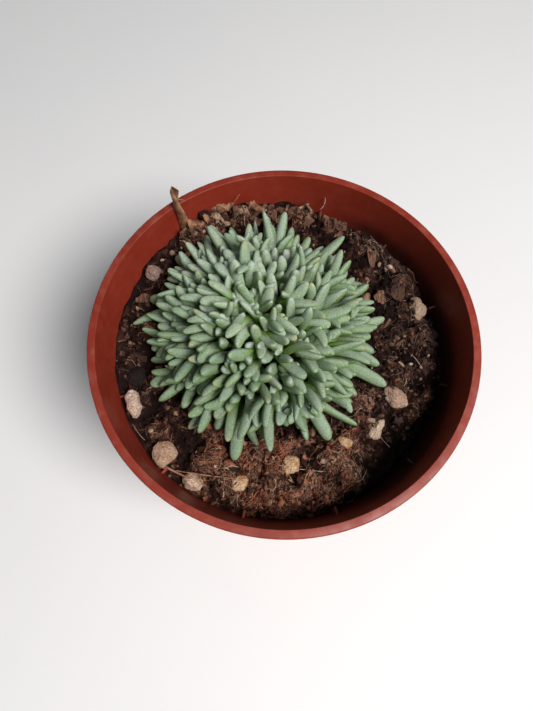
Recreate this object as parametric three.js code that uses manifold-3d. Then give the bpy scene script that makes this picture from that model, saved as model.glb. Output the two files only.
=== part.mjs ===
// A cushion-forming ice plant in a round plastic nursery pot.
// Millimetres, +Z up, origin at the centre of the pot's foot. The side seen first is -Y.
// The pieces are the pot, the compost that fills it, the pumice, lava and bark that lie on the compost,
// a dry shard standing in it, the plant's woody crown, and one rosette of finger-shaped leaves for each shoot.
import * as THREE from 'three';
import { mergeVertices } from 'three/addons/utils/BufferGeometryUtils.js';
import Module from 'manifold-3d';

const wasm = await Module();
wasm.setup();

// Pot
const POT_HEIGHT = 88;
const RIM_OUTER_R = 52.5;
const LIP_WIDTH = 2.2;
const WALL = 1.0;
const FOOT_OUTER_R = 38.5;
const FOOT_WIDTH = 3.2;
const FLOOR_UNDERSIDE = 2.0;
const FLOOR_THICKNESS = 1.2;
const COLLAR_DEPTH = 14;
const COLLAR_SKIRT = 0.9;
const POT_SIDES = 36;
const DRAIN_HOLES = 8;
const DRAIN_HOLE_R = 3.6;
const DRAIN_CIRCLE_R = 25;
const FOOT_NOTCH_WIDTH = 7;
const RIB_COUNT = 12;
const RIB_FIRST_ANGLE = 17;
const RIB_THICKNESS = 1.1;
const RIB_PROUD = 2.4;

// Compost
const GAP = 0.3;
const SOIL_DEPTH = 13.5;
const SOIL_RINGS = 9;
const SOIL_SIDES = POT_SIDES;

// Plant
const CUSHION_CENTRE = new THREE.Vector3(-6, 4, 76.8);
const CUSHION_BASE_R = 18.5;
const CUSHION_BASE_RISE = 7;
const ROSETTES = 36;
const LOWEST_TILT = 82;
const CROWDED = 0.31;
const GOLDEN_ANGLE = 137.508;
const HUB_LENGTH = 4;
const HUB_R = 1.7;
const CROWN_R = 11;
const CROWN_RISE = 4;
const STEM_R = 1.3;
const STEM_TIP_R = 0.9;
const LEAF_R = 1.55;
const LEAF_SIDES = 5;
const LEAF_WIDEST = 0.6;
const LEAF_RINGS = [0.3, 0.9];
const RELAX_ROUNDS = 260;
const SETTLE_STEP = 1e-6;
const LEAST_BASE = 0.5;
const LEAST_TIP = 0.62;
// Each leaf pair of a shoot, from the youngest out: length, tilt from the shoot's axis, height on the hub.
const LEAF_PAIRS = [
  { length: 9.5, tilt: 16, height: 2.8, fat: 0.86 },
  { length: 12.5, tilt: 32, height: 2.0, fat: 0.98 },
  { length: 15, tilt: 48, height: 1.2, fat: 1.04 },
  { length: 15.5, tilt: 64, height: 0.8, fat: 1.0 },
];
// The longest leaves of the fringe, by hand: the way they point, how far the tip is from the cushion's
// centre, and the tip's height above the cushion's base plane.
const STRAY_LEAVES = [
  { heading: 257, reach: 36.5, rise: -1.5 },
  { heading: 308, reach: 38.0, rise: -0.5 },
  { heading: 333, reach: 37.5, rise: 0.5 },
  { heading: 193, reach: 37.0, rise: 0.5 },
  { heading: 177, reach: 36.0, rise: 5.0 },
  { heading: 52, reach: 37.0, rise: 4.5 },
  { heading: 12, reach: 37.5, rise: 5.5 },
  { heading: 120, reach: 36.0, rise: 7.0 },
];

const rad = THREE.MathUtils.degToRad;
const floorTop = FLOOR_UNDERSIDE + FLOOR_THICKNESS;
const lipInnerR = RIM_OUTER_R - LIP_WIDTH;
const wallTaper = (lipInnerR - (FOOT_OUTER_R - WALL)) / (POT_HEIGHT - floorTop);
const wallInnerR = (z) => lipInnerR - (POT_HEIGHT - z) * wallTaper;

// One seeded sequence of random numbers from 0 to 1, so that every build is the same.
let seed = 20417;
function random() {
  seed = (seed * 1664525 + 1013904223) % 4294967296;
  return seed / 4294967296;
}
const jitter = (size) => (random() * 2 - 1) * size;

// A closed three.js geometry as a solid: only positions are kept, and shared vertices are merged.
function solidOf(geometry) {
  const bare = geometry.clone();
  bare.deleteAttribute('normal');
  bare.deleteAttribute('uv');
  const merged = mergeVertices(bare, 1e-4);
  const index = merged.index.array;
  const triVerts = [];
  for (let i = 0; i < index.length; i += 3) {
    const [a, b, c] = [index[i], index[i + 1], index[i + 2]];
    if (a !== b && b !== c && c !== a) triVerts.push(a, b, c);
  }
  const vertProperties = merged.attributes.position.array;
  const flipped = new Uint32Array(triVerts);
  const made = new wasm.Manifold(new wasm.Mesh({ numProp: 3, vertProperties, triVerts: flipped }));
  if (made.volume() > 0) return made;
  for (let i = 0; i < flipped.length; i += 3) flipped.set([triVerts[i + 1], triVerts[i]], i);
  return new wasm.Manifold(new wasm.Mesh({ numProp: 3, vertProperties, triVerts: flipped }));
}

function geometryOf(solid) {
  const mesh = solid.getMesh();
  const positions = new Float32Array(mesh.numVert * 3);
  for (let i = 0; i < mesh.numVert; i++) {
    for (let k = 0; k < 3; k++) positions[i * 3 + k] = mesh.vertProperties[i * mesh.numProp + k];
  }
  const indexed = new THREE.BufferGeometry();
  indexed.setAttribute('position', new THREE.BufferAttribute(positions, 3));
  indexed.setIndex([...mesh.triVerts]);
  const flat = indexed.toNonIndexed();
  flat.computeVertexNormals();
  return flat;
}

const largest = (solid) => solid.decompose().reduce((a, b) => (a.volume() > b.volume() ? a : b));
const union = (solids) => solids.reduce((all, one) => all.add(one));

// A profile of [radius, height] pairs turned about Z.
function turned(profile, sides) {
  const points = profile.map(([r, z]) => new THREE.Vector2(r, z));
  return new THREE.LatheGeometry(points, sides).rotateX(Math.PI / 2);
}

function boxAt(width, depth, height, x, y, z, angle) {
  const box = new THREE.BoxGeometry(width, depth, height).translate(x, y, z);
  return solidOf(box.rotateZ(rad(angle)));
}

// The pot is one moulding: a tapered wall, a collar that turns out and down from the lip,
// stacking ribs inside, a raised floor with drain holes, and a notched foot.
function makePot() {
  const collarBottom = POT_HEIGHT - COLLAR_DEPTH;
  const outer = (z) => wallInnerR(z) + WALL;
  const skirtInner = (z) => RIM_OUTER_R - COLLAR_SKIRT - (POT_HEIGHT - z) * 0.05;
  const channelTop = POT_HEIGHT - 2.4;
  const profile = [
    [0, floorTop],
    [0, FLOOR_UNDERSIDE],
    [FOOT_OUTER_R - FOOT_WIDTH, FLOOR_UNDERSIDE],
    [FOOT_OUTER_R - FOOT_WIDTH + 0.4, 0],
    [FOOT_OUTER_R - 0.3, 0],
    [outer(collarBottom), collarBottom],
    [outer(channelTop), channelTop],
    [skirtInner(channelTop), channelTop],
    [skirtInner(collarBottom), collarBottom],
    [skirtInner(collarBottom) + COLLAR_SKIRT, collarBottom],
    [RIM_OUTER_R, POT_HEIGHT - 0.7],
    [RIM_OUTER_R - 0.7, POT_HEIGHT],
    [lipInnerR + 0.3, POT_HEIGHT],
    [wallInnerR(POT_HEIGHT - 0.5), POT_HEIGHT - 0.5],
    [wallInnerR(floorTop + 2), floorTop + 2],
    [wallInnerR(floorTop) - 1.6, floorTop],
    [0, floorTop],
  ];
  let pot = solidOf(turned(profile, POT_SIDES));
  pot = pot.add(union(ribs(0)));
  for (let i = 0; i < DRAIN_HOLES; i++) {
    const angle = rad((i * 360) / DRAIN_HOLES);
    const hole = new THREE.CylinderGeometry(DRAIN_HOLE_R, DRAIN_HOLE_R, 10, 10).rotateX(Math.PI / 2);
    hole.translate(DRAIN_CIRCLE_R * Math.cos(angle), DRAIN_CIRCLE_R * Math.sin(angle), floorTop);
    pot = pot.subtract(solidOf(hole));
    const between = ((i + 0.5) * 360) / DRAIN_HOLES;
    pot = pot.subtract(boxAt(FOOT_WIDTH * 4, FOOT_NOTCH_WIDTH, 2.4, FOOT_OUTER_R, 0, 0, between));
  }
  const middle = new THREE.CylinderGeometry(DRAIN_HOLE_R, DRAIN_HOLE_R, 10, 10).rotateX(Math.PI / 2);
  return pot.subtract(solidOf(middle));
}

// Stacking ribs: thin upright fins under the collar whose straight inner edge runs out into the taper.
function ribs(grow) {
  const top = POT_HEIGHT - COLLAR_DEPTH;
  const innerEdge = wallInnerR(top) - RIB_PROUD;
  const foot = POT_HEIGHT - (lipInnerR - innerEdge) / wallTaper;
  const sunk = WALL / 2;
  const outline = new THREE.Shape();
  outline.moveTo(innerEdge - grow, foot - grow);
  outline.lineTo(wallInnerR(foot) + sunk, foot - grow);
  outline.lineTo(wallInnerR(top) + sunk, top + grow);
  outline.lineTo(innerEdge - grow + 0.5, top + grow);
  outline.lineTo(innerEdge - grow, top + grow - 0.6);
  const depth = RIB_THICKNESS + 2 * grow;
  const made = [];
  for (let i = 0; i < RIB_COUNT; i++) {
    const fin = new THREE.ExtrudeGeometry(outline, { depth, bevelEnabled: false });
    fin.translate(0, 0, -depth / 2).rotateX(Math.PI / 2);
    made.push(solidOf(fin.rotateZ(rad(RIB_FIRST_ANGLE + (i * 360) / RIB_COUNT))));
  }
  return made;
}

// Height of the compost: a tilt that rises to the back left, lumps that die out under the plant,
// a hollow at the front right, and a slump where it meets the wall, deeper towards the front right.
function soilHeight(x, y) {
  const r = Math.hypot(x, y);
  const uneven = 0.7 * Math.sin(0.31 * x + 1.3) * Math.sin(0.27 * y + 0.4)
    + 0.45 * Math.sin(0.63 * x - 0.41 * y + 2.0) + 0.3 * Math.sin(0.9 * y + 0.5 * x);
  const fromPlant = Math.hypot(x - CUSHION_CENTRE.x, y - CUSHION_CENTRE.y);
  const lumps = uneven * THREE.MathUtils.smoothstep(fromPlant, 16, 30);
  const tilt = -0.03 * x + 0.06 * y;
  const hollow = -5.5 * Math.exp(-(((x - 31) / 11) ** 2) - ((y + 30) / 12) ** 2);
  const slump = -1.1 * (1 + x / 90 - y / 60) * THREE.MathUtils.smoothstep(r, 40, 48);
  return POT_HEIGHT - SOIL_DEPTH + lumps + tilt + hollow + slump;
}

// The compost is a turned plug that follows the wall, with its top rings lifted to the height formula.
function makeSoil(sockets) {
  const bottom = floorTop + GAP;
  const level = POT_HEIGHT - SOIL_DEPTH;
  const edge = wallInnerR(level) - GAP;
  const profile = [[0, level]];
  for (let i = 1; i <= SOIL_RINGS; i++) profile.push([edge * (i / SOIL_RINGS) ** 0.9, level]);
  profile.push([wallInnerR(bottom + 2) - GAP, bottom + 2]);
  profile.push([wallInnerR(bottom) - 1.6 - GAP, bottom]);
  profile.push([0, bottom]);
  const plug = turned(profile, SOIL_SIDES);
  const at = plug.attributes.position;
  for (let i = 0; i < at.count; i++) {
    if (Math.abs(at.getZ(i) - level) > 1e-3) continue;
    const x = at.getX(i);
    const y = at.getY(i);
    const z = soilHeight(x, y);
    const onEdge = Math.hypot(x, y) > edge - 1e-3;
    const pull = onEdge ? (wallInnerR(z) - GAP) / edge : 1;
    at.setXYZ(i, x * pull, y * pull, z);
  }
  return largest(solidOf(plug).subtract(union([...ribs(GAP), ...sockets])));
}

// A stone is a twenty-sided ball cut finer, pushed out of round by a formula.
function stoneGeometry({ size, wobble }) {
  const stone = new THREE.IcosahedronGeometry(0.5, 1);
  const at = stone.attributes.position;
  const p = new THREE.Vector3();
  for (let i = 0; i < at.count; i++) {
    p.fromBufferAttribute(at, i);
    const bump = Math.sin(7 * p.x + wobble) * Math.sin(6 * p.y + 2 * wobble) + Math.sin(8 * p.z - wobble);
    p.multiplyScalar(1 + 0.1 * bump);
    at.setXYZ(i, p.x * size[0], p.y * size[1], p.z * size[2]);
  }
  return stone;
}

// A chip is a six-sided flake of uneven outline.
function chipGeometry({ size, wobble }) {
  const chip = new THREE.CylinderGeometry(0.44, 0.5, 1, 6).rotateX(Math.PI / 2);
  const at = chip.attributes.position;
  for (let i = 0; i < at.count; i++) {
    const uneven = 1 + 0.14 * Math.sin(3 * Math.atan2(at.getY(i), at.getX(i)) + wobble);
    at.setXYZ(i, at.getX(i) * uneven * size[0], at.getY(i) * uneven * size[1], at.getZ(i) * size[2]);
  }
  return chip;
}

// Stones and chips on the compost: place, size along their own axes, turn about Z, and share sunk.
const STONES = [
  { name: 'pumice_round_front_left', at: [-32.2, -30.3], size: [6.8, 6.6, 5.6], turn: 20, sunk: 0.3, wobble: 0.4 },
  { name: 'pumice_long_left', at: [-41.6, -16.6], size: [4.6, 8.0, 4.4], turn: 14, sunk: 0.3, wobble: 1.7 },
  { name: 'pumice_wall_front_left', at: [-24.6, -37.4], size: [5.8, 4.6, 4.4], turn: -25, sunk: 0.35, wobble: 2.6 },
  { name: 'pumice_right', at: [32.2, -13.9], size: [5.2, 6.8, 4.6], turn: 48, sunk: 0.25, wobble: 3.9 },
  { name: 'pumice_right_front', at: [26.9, -22.4], size: [3.4, 6.2, 3.6], turn: -28, sunk: 0.4, wobble: 5.1 },
  { name: 'pumice_ochre_front', at: [2.0, -32.9], size: [5.2, 5.4, 4.0], turn: 0, sunk: 0.45, wobble: 0.9 },
  { name: 'pumice_tan_front', at: [-11.8, -37.9], size: [5.2, 4.8, 4.0], turn: 30, sunk: 0.45, wobble: 2.2 },
  { name: 'pumice_grey_left', at: [-38.4, 23.2], size: [4.8, 4.8, 4.4], turn: 0, sunk: 0.3, wobble: 3.1 },
  { name: 'pumice_wall_right', at: [41.0, 14.0], size: [4.0, 6.0, 3.4], turn: 25, sunk: 0.35, wobble: 4.4 },
  { name: 'lava_left', at: [-41.8, -8.6], size: [5.0, 5.4, 4.4], turn: 10, sunk: 0.45, wobble: 5.6 },
];
const CHIPS = [
  { name: 'bark_chip_back', at: [27.5, 29.5], size: [2.8, 6.4, 1.5], turn: 12, tip: 24, sunk: 0.3, wobble: 1.2 },
  { name: 'bark_chip_right', at: [35.0, 17.5], size: [4.4, 5.0, 1.6], turn: -35, tip: 14, sunk: 0.3, wobble: 2.9 },
  { name: 'bark_chip_left', at: [-41.0, 15.2], size: [5.2, 3.0, 1.5], turn: 8, tip: 10, sunk: 0.3, wobble: 4.0 },
];

// The dry shard of leaf that stands at the back left: where it leaves the compost, and its tip.
const SHARD_FOOT = new THREE.Vector3(-27.0, 34.0, 70);
const SHARD_TIP = new THREE.Vector3(-30.8, 38.2, 98);
const SHARD_WIDTH = 3.6;
const SHARD_THICKNESS = 1.5;

function shardGeometry(grow) {
  const profile = [[0, 0], [0.3, 0], [0.42, 0.22], [0.5, 0.45], [0.4, 0.62], [0.5, 0.8], [0.24, 0.95], [0, 1]];
  const shard = turned(profile, 6);
  const along = SHARD_TIP.clone().sub(SHARD_FOOT);
  const wide = new THREE.Vector3(1, 0.35, 0).normalize();
  const thick = along.clone().cross(wide).normalize();
  const at = shard.attributes.position;
  const p = new THREE.Vector3();
  for (let i = 0; i < at.count; i++) {
    const [x, y, s] = [at.getX(i), at.getY(i), at.getZ(i)];
    const sway = 0.9 * Math.sin(s * 7) * (1 - s);
    p.copy(SHARD_FOOT).addScaledVector(along, s);
    p.addScaledVector(wide, x * (SHARD_WIDTH + 2 * grow) + sway);
    p.addScaledVector(thick, y * (SHARD_THICKNESS + 2 * grow) + sway * 0.6);
    at.setXYZ(i, p.x, p.y, p.z);
  }
  return shard;
}

// Half-width of a leaf at a share s of its length: full in the middle, blunt at the tip. Its base half
// and its tip half can each be held back where neighbours crowd it.
function leafRadius(leaf, s) {
  const rising = 0.62 + 0.38 * Math.sin((Math.PI / 2) * Math.min(1, s / LEAF_WIDEST));
  const past = Math.max(0, (s - LEAF_WIDEST) / (1 - LEAF_WIDEST));
  const held = THREE.MathUtils.lerp(leaf.baseFit, leaf.tipFit, THREE.MathUtils.smoothstep(s, 0.4, 0.7));
  return leaf.fat * held * rising * Math.sqrt(Math.max(0, 1 - past ** 5));
}

// Directions out of a dome by the golden angle, shaken, then eased apart until none crowds another.
function shootDirections() {
  const lowest = 1 - Math.cos(rad(LOWEST_TILT));
  const directions = [];
  for (let k = 0; k < ROSETTES; k++) {
    const tilt = Math.acos(1 - lowest * ((k + 0.5) / ROSETTES));
    const heading = rad(k * GOLDEN_ANGLE);
    const direction = new THREE.Vector3().setFromSphericalCoords(1, tilt, heading);
    direction.set(direction.z + jitter(0.07), direction.x + jitter(0.07), direction.y);
    directions.push(direction.normalize());
  }
  for (let round = 0; round < 20; round++) {
    const before = directions.map((direction) => direction.clone());
    before.forEach((a, i) => before.forEach((b, j) => {
      const short = CROWDED - a.distanceTo(b);
      if (i !== j && short > 0) directions[i].addScaledVector(a.clone().sub(b).normalize(), short / 2);
    }));
    directions.forEach((direction) => direction.setZ(Math.max(direction.z, Math.cos(rad(LOWEST_TILT)))).normalize());
  }
  return directions;
}

// Shoots stand on a flattened dome, and point straight out of it.
function makeShoots() {
  const shoots = [];
  shootDirections().forEach((axis) => {
    const foot = new THREE.Vector3(axis.x * CUSHION_BASE_R, axis.y * CUSHION_BASE_R, axis.z * CUSHION_BASE_RISE);
    foot.add(CUSHION_CENTRE);
    const lean = new THREE.Vector3(jitter(0.16), jitter(0.16), jitter(0.16));
    axis.add(lean).normalize();
    const side = new THREE.Vector3(0, 0, 1).cross(axis);
    if (side.lengthSq() < 1e-6) side.set(1, 0, 0);
    side.normalize();
    const spin = rad(jitter(90));
    shoots.push({ foot, axis, side, front: axis.clone().cross(side), spin });
  });
  return shoots;
}

// Leaves come in opposite pairs, each pair turned a quarter from the one inside it.
function makeLeaves(shoots) {
  const leaves = [];
  shoots.forEach((shoot, k) => {
    LEAF_PAIRS.forEach((pair, level) => {
      for (let half = 0; half < 2; half++) {
        const turn = shoot.spin + rad(level * 90 + half * 180 + jitter(14));
        const tilt = rad(pair.tilt + jitter(7));
        const out = shoot.side.clone().multiplyScalar(Math.cos(turn));
        out.addScaledVector(shoot.front, Math.sin(turn));
        const way = shoot.axis.clone().multiplyScalar(Math.cos(tilt)).addScaledVector(out, Math.sin(tilt));
        const base = shoot.foot.clone().addScaledVector(shoot.axis, pair.height).addScaledVector(out, 0.7);
        const length = pair.length * (1 + jitter(0.14));
        const fat = LEAF_R * pair.fat * (1 + jitter(0.1));
        const bend = out.multiplyScalar(-0.1 + jitter(0.14));
        bend.addScaledVector(shoot.side, jitter(0.05));
        leaves.push({ shoot: k, base, way, wish: way.clone(), bend, length, fat, baseFit: 1, tipFit: 1 });
      }
    });
  });
  STRAY_LEAVES.forEach(({ heading, reach, rise }) => {
    const out = new THREE.Vector3(Math.cos(rad(heading)), Math.sin(rad(heading)), 0);
    const tip = CUSHION_CENTRE.clone().addScaledVector(out, reach);
    tip.z += rise;
    let nearest = 0;
    shoots.forEach((shoot, k) => {
      if (shoot.foot.distanceTo(tip) < shoots[nearest].foot.distanceTo(tip)) nearest = k;
    });
    const { foot, axis } = shoots[nearest];
    const base = foot.clone().addScaledVector(axis, 1.6);
    const way = tip.clone().sub(base);
    const length = way.length();
    way.normalize();
    const bend = new THREE.Vector3(0, 0, -0.06);
    const fat = LEAF_R * 1.08;
    leaves.push({ shoot: nearest, base, way, wish: way.clone(), bend, length, fat, baseFit: 1, tipFit: 1 });
  });
  return leaves;
}

const stemStart = (shoot) => CUSHION_CENTRE.clone().lerp(shoot.foot, 0.3).setZ(CUSHION_CENTRE.z - 1);

// A leaf's midline is a gentle bow: straight out along its way, bent more towards the tip.
function leafPoint(leaf, s, target) {
  const along = leaf.bend.dot(leaf.way);
  target.copy(leaf.base).addScaledVector(leaf.way, leaf.length * (s - along * s * s));
  return target.addScaledVector(leaf.bend, leaf.length * s * s);
}

function beadsOf(leaves, shoots, shares) {
  const beads = [];
  leaves.forEach((leaf, i) => {
    shares.forEach((s) => {
      const at = leafPoint(leaf, s, new THREE.Vector3());
      beads.push({ at, s, leaf: i, shoot: leaf.shoot, r: leafRadius(leaf, Math.min(s, 0.93)) });
    });
  });
  shoots.forEach((shoot, k) => {
    [0.6, 2.2, 3.4].forEach((h) => {
      const at = shoot.foot.clone().addScaledVector(shoot.axis, h);
      beads.push({ at, s: 0, leaf: -1, shoot: k, r: HUB_R });
    });
    [0.4, 0.5, 0.6, 0.7, 0.8, 0.9, 1].forEach((share) => {
      const at = stemStart(shoot).lerp(shoot.foot, share);
      beads.push({ at, s: 0, leaf: -1, shoot: -1, r: STEM_R + 0.2 });
    });
  });
  return beads;
}

// Calls visit(bead, other, distance between their middles) for each two beads that are close.
function eachClosePair(beads, reach, visit) {
  const sorted = [...beads].sort((a, b) => a.at.x - b.at.x);
  sorted.forEach((a, i) => {
    for (let j = i + 1; j < sorted.length && sorted[j].at.x - a.at.x < reach; j++) {
      const b = sorted[j];
      if (Math.abs(a.at.y - b.at.y) > reach) continue;
      if (a.leaf === b.leaf || (a.leaf < 0 && b.leaf < 0)) continue;
      if (a.shoot === b.shoot && (a.s < 0.3 || b.s < 0.3)) continue;
      const distance = a.at.distanceTo(b.at);
      if (distance < reach) visit(a, b, distance);
    }
  });
}

// A leaf that would dip into the compost is turned up until it clears it.
function liftOffSoil(leaves) {
  const at = new THREE.Vector3();
  leaves.forEach((leaf) => {
    for (let share = 0.3; share < 1.01; share += 0.1) {
      leafPoint(leaf, share, at);
      const floor = soilHeight(at.x, at.y) + leafRadius(leaf, Math.min(share, 0.9)) + 0.9;
      if (at.z < floor) leaf.way.z += (floor - at.z) / (leaf.length * share);
      leaf.way.normalize();
    }
  });
}

// The leaves jostle: where two are too close, both swing apart about their roots, a little in each round.
// Directions move in whole small steps, so that rounding can't add up and every run settles the same way.
function relax(leaves, shoots, rounds) {
  leaves.forEach((leaf) => Object.assign(leaf, { baseFit: 1, tipFit: 1 }));
  const shares = [0.2, 0.32, 0.44, 0.56, 0.68, 0.8, 0.92];
  const apart = new THREE.Vector3();
  for (let round = 0; round < rounds; round++) {
    const pushes = leaves.map(() => ({ sum: new THREE.Vector3(), count: 0 }));
    const push = (bead, direction, amount) => {
      if (bead.leaf < 0) return;
      pushes[bead.leaf].sum.addScaledVector(direction, amount / (leaves[bead.leaf].length * bead.s));
      pushes[bead.leaf].count += 1;
    };
    const beads = beadsOf(leaves, shoots, shares);
    eachClosePair(beads, 4, (a, b, distance) => {
      const clear = a.shoot === b.shoot ? 0.1 : 0.45;
      const overlap = a.r + b.r + clear - distance;
      if (overlap <= 0) return;
      apart.copy(a.at).sub(b.at).divideScalar(distance);
      push(a, apart, overlap / 2);
      push(b, apart, -overlap / 2);
    });
    leaves.forEach((leaf, i) => {
      const { sum, count } = pushes[i];
      if (count) leaf.way.addScaledVector(sum, 0.9 / count);
      leaf.way.lerp(leaf.wish, 0.01).normalize();
    });
    liftOffSoil(leaves);
    leaves.forEach((leaf) => leaf.way.divideScalar(SETTLE_STEP).round().multiplyScalar(SETTLE_STEP));
  }
}

// Sets how far each leaf's base half and tip half are held back by its neighbours.
function holdApart(leaves, shoots) {
  leaves.forEach((leaf) => Object.assign(leaf, { baseFit: 1, tipFit: 1 }));
  const shares = Array.from({ length: 17 }, (_, i) => 0.16 + i * 0.05);
  const beads = beadsOf(leaves, shoots, shares);
  const hold = (bead, share) => {
    if (bead.leaf < 0) return;
    const leaf = leaves[bead.leaf];
    if (bead.s < 0.69) leaf.baseFit = Math.min(leaf.baseFit, share);
    if (bead.s > 0.41) leaf.tipFit = Math.min(leaf.tipFit, share);
  };
  eachClosePair(beads, 4, (a, b, distance) => {
    if (a.shoot === b.shoot) return;
    const share = (distance - 0.35) / (a.r + b.r);
    hold(a, share);
    hold(b, share);
  });
}

// While a leaf has no room to be a leaf, the most squeezed one isn't there.
function thinOut(leaves, shoots) {
  const room = (leaf) => Math.min(leaf.baseFit / LEAST_BASE, leaf.tipFit / LEAST_TIP);
  let kept = leaves;
  for (;;) {
    holdApart(kept, shoots);
    const worst = kept.reduce((a, b) => (room(a) < room(b) ? a : b));
    if (room(worst) >= 1) return kept;
    kept = kept.filter((leaf) => leaf !== worst);
  }
}

// A finger of unit length, turned from its outline, then laid along the leaf's own midline.
function leafGeometry(leaf) {
  const outline = [[0, 0]];
  LEAF_RINGS.forEach((s) => outline.push([leafRadius(leaf, s) * 1.06, s]));
  outline.push([0, 1]);
  const finger = turned(outline, LEAF_SIDES);
  const at = finger.attributes.position;
  const middle = new THREE.Vector3();
  const ahead = new THREE.Vector3();
  const side = new THREE.Vector3();
  const up = new THREE.Vector3();
  for (let i = 0; i < at.count; i++) {
    const s = at.getZ(i);
    leafPoint(leaf, s, middle);
    leafPoint(leaf, s + 0.01, ahead).sub(middle).normalize();
    side.set(-leaf.wish.y, leaf.wish.x, 0.02).addScaledVector(ahead, -side.dot(ahead)).normalize();
    up.crossVectors(ahead, side);
    middle.addScaledVector(side, at.getX(i)).addScaledVector(up, at.getY(i) * 0.9);
    at.setXYZ(i, middle.x, middle.y, middle.z);
  }
  return finger;
}

// A turned piece set on a point and pointed along an axis.
function alongAxis(profile, sides, origin, axis) {
  const piece = turned(profile, sides);
  piece.applyQuaternion(new THREE.Quaternion().setFromUnitVectors(new THREE.Vector3(0, 0, 1), axis));
  return piece.translate(origin.x, origin.y, origin.z);
}

// The woody crown is a low dome in the compost, with a short stem to the foot of each shoot.
function crownSolid(shoots, grow) {
  const dome = new THREE.SphereGeometry(1, 10, 6).rotateX(Math.PI / 2);
  dome.scale(CROWN_R + grow, CROWN_R + grow, CROWN_RISE + grow);
  dome.translate(CUSHION_CENTRE.x, CUSHION_CENTRE.y, CUSHION_CENTRE.z - 2);
  const stems = shoots.map((shoot) => {
    const start = stemStart(shoot);
    const way = shoot.foot.clone().sub(start);
    const tiltRoom = STEM_TIP_R * way.clone().normalize().cross(shoot.axis).length();
    const length = way.length() - GAP - tiltRoom + grow;
    const profile = [[0, 0], [STEM_R + grow, 0], [STEM_TIP_R + grow, length], [0, length]];
    return solidOf(alongAxis(profile, 4, start, way.normalize()));
  });
  return union([solidOf(dome), ...stems]);
}

const root = new THREE.Group();
const finishes = {
  pot: { color: 0x9a4331, roughness: 0.5 },
  soil: { color: 0x3b2a20, roughness: 1.0 },
  pumice: { color: 0xcbb596, roughness: 0.95 },
  lava: { color: 0x2b2726, roughness: 0.95 },
  bark: { color: 0x8a5738, roughness: 0.9 },
  shard: { color: 0x8c6a45, roughness: 0.9 },
  crown: { color: 0x5f4a35, roughness: 0.95 },
  leaf: { color: 0x8fae93, roughness: 0.65 },
};
const materials = Object.fromEntries(Object.entries(finishes).map(([name, finish]) => [
  name, new THREE.MeshStandardMaterial({ name, metalness: 0, ...finish })]));

function addNode(name, geometry, finish, parent = root) {
  const mesh = new THREE.Mesh(geometry, materials[finish]);
  mesh.name = name;
  parent.add(mesh);
  return mesh;
}

// A stone or chip in its own frame, placed and turned by its mesh. Returns the socket it lies in.
function placeStone(stone, finish) {
  const [x, y] = stone.at;
  const shape = finish === 'bark' ? chipGeometry : stoneGeometry;
  const mesh = addNode(stone.name, shape(stone), finish);
  mesh.position.set(x, y, soilHeight(x, y) + stone.size[2] * (0.5 - stone.sunk));
  mesh.rotation.set(rad(stone.tip ?? 0), 0, rad(stone.turn));
  mesh.updateMatrixWorld();
  const hole = shape({ ...stone, size: stone.size.map((side) => side + 2.4 * GAP) });
  return solidOf(hole.applyMatrix4(mesh.matrixWorld));
}

addNode('pot', geometryOf(makePot()), 'pot');
const sockets = [
  ...STONES.map((stone) => placeStone(stone, stone.name.startsWith('lava') ? 'lava' : 'pumice')),
  ...CHIPS.map((chip) => placeStone(chip, 'bark')),
];
addNode('dry_shard', shardGeometry(0), 'shard');
sockets.push(solidOf(shardGeometry(GAP * 1.2)));

const shoots = makeShoots();
let leaves = makeLeaves(shoots);
relax(leaves, shoots, RELAX_ROUNDS);
leaves = thinOut(leaves, shoots);
relax(leaves, shoots, RELAX_ROUNDS / 4);
leaves = thinOut(leaves, shoots);

addNode('soil', geometryOf(makeSoil([...sockets, crownSolid(shoots, GAP * 1.3)])), 'soil');
const plant = new THREE.Group();
root.add(plant);
addNode('crown', geometryOf(crownSolid(shoots, 0)), 'crown', plant);
const hubProfile = [[0, 0], [HUB_R, 0], [HUB_R * 0.8, HUB_LENGTH], [0, HUB_LENGTH]];
shoots.forEach((shoot, k) => {
  const hub = solidOf(alongAxis(hubProfile, 5, shoot.foot, shoot.axis));
  const own = leaves.filter((leaf) => leaf.shoot === k);
  const rosette = union([hub, ...own.map((leaf) => solidOf(leafGeometry(leaf)))]);
  const { x, y, z } = shoot.foot;
  const name = `rosette_${String(k + 1).padStart(2, '0')}`;
  addNode(name, geometryOf(largest(rosette)).translate(-x, -y, -z), 'leaf', plant).position.set(x, y, z);
});

export default root;
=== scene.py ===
# %% [markdown]
# # A cushion of ice plant in a plastic nursery pot
# This notebook dresses a measured model of a small succulent. The plant is a dense cushion of blunt,
# grey-green finger leaves, grown in gritty compost in a terracotta-coloured plastic pot 105 mm across.
# Each piece is modelled at its true place and size, so nothing has to be fitted afterwards. Lengths in the
# cells are in millimetres, and they become metres only where a mesh is written.

# %% Load the measured model
import math
from contextlib import contextmanager

import bpy
import numpy as np
from mathutils import Matrix, Vector, noise


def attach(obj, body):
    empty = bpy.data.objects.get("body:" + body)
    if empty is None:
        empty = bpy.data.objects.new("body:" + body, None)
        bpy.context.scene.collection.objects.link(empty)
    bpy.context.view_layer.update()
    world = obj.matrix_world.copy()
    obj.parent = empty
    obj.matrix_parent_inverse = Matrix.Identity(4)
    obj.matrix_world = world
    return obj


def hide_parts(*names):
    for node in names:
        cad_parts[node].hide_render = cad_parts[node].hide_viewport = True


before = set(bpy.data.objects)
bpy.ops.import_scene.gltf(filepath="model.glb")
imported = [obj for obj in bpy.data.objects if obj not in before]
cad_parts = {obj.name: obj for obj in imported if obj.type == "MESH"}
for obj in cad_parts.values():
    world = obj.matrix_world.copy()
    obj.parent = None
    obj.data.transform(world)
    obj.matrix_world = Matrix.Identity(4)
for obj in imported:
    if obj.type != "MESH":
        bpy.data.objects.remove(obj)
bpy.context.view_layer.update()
scene = bpy.context.scene
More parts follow.
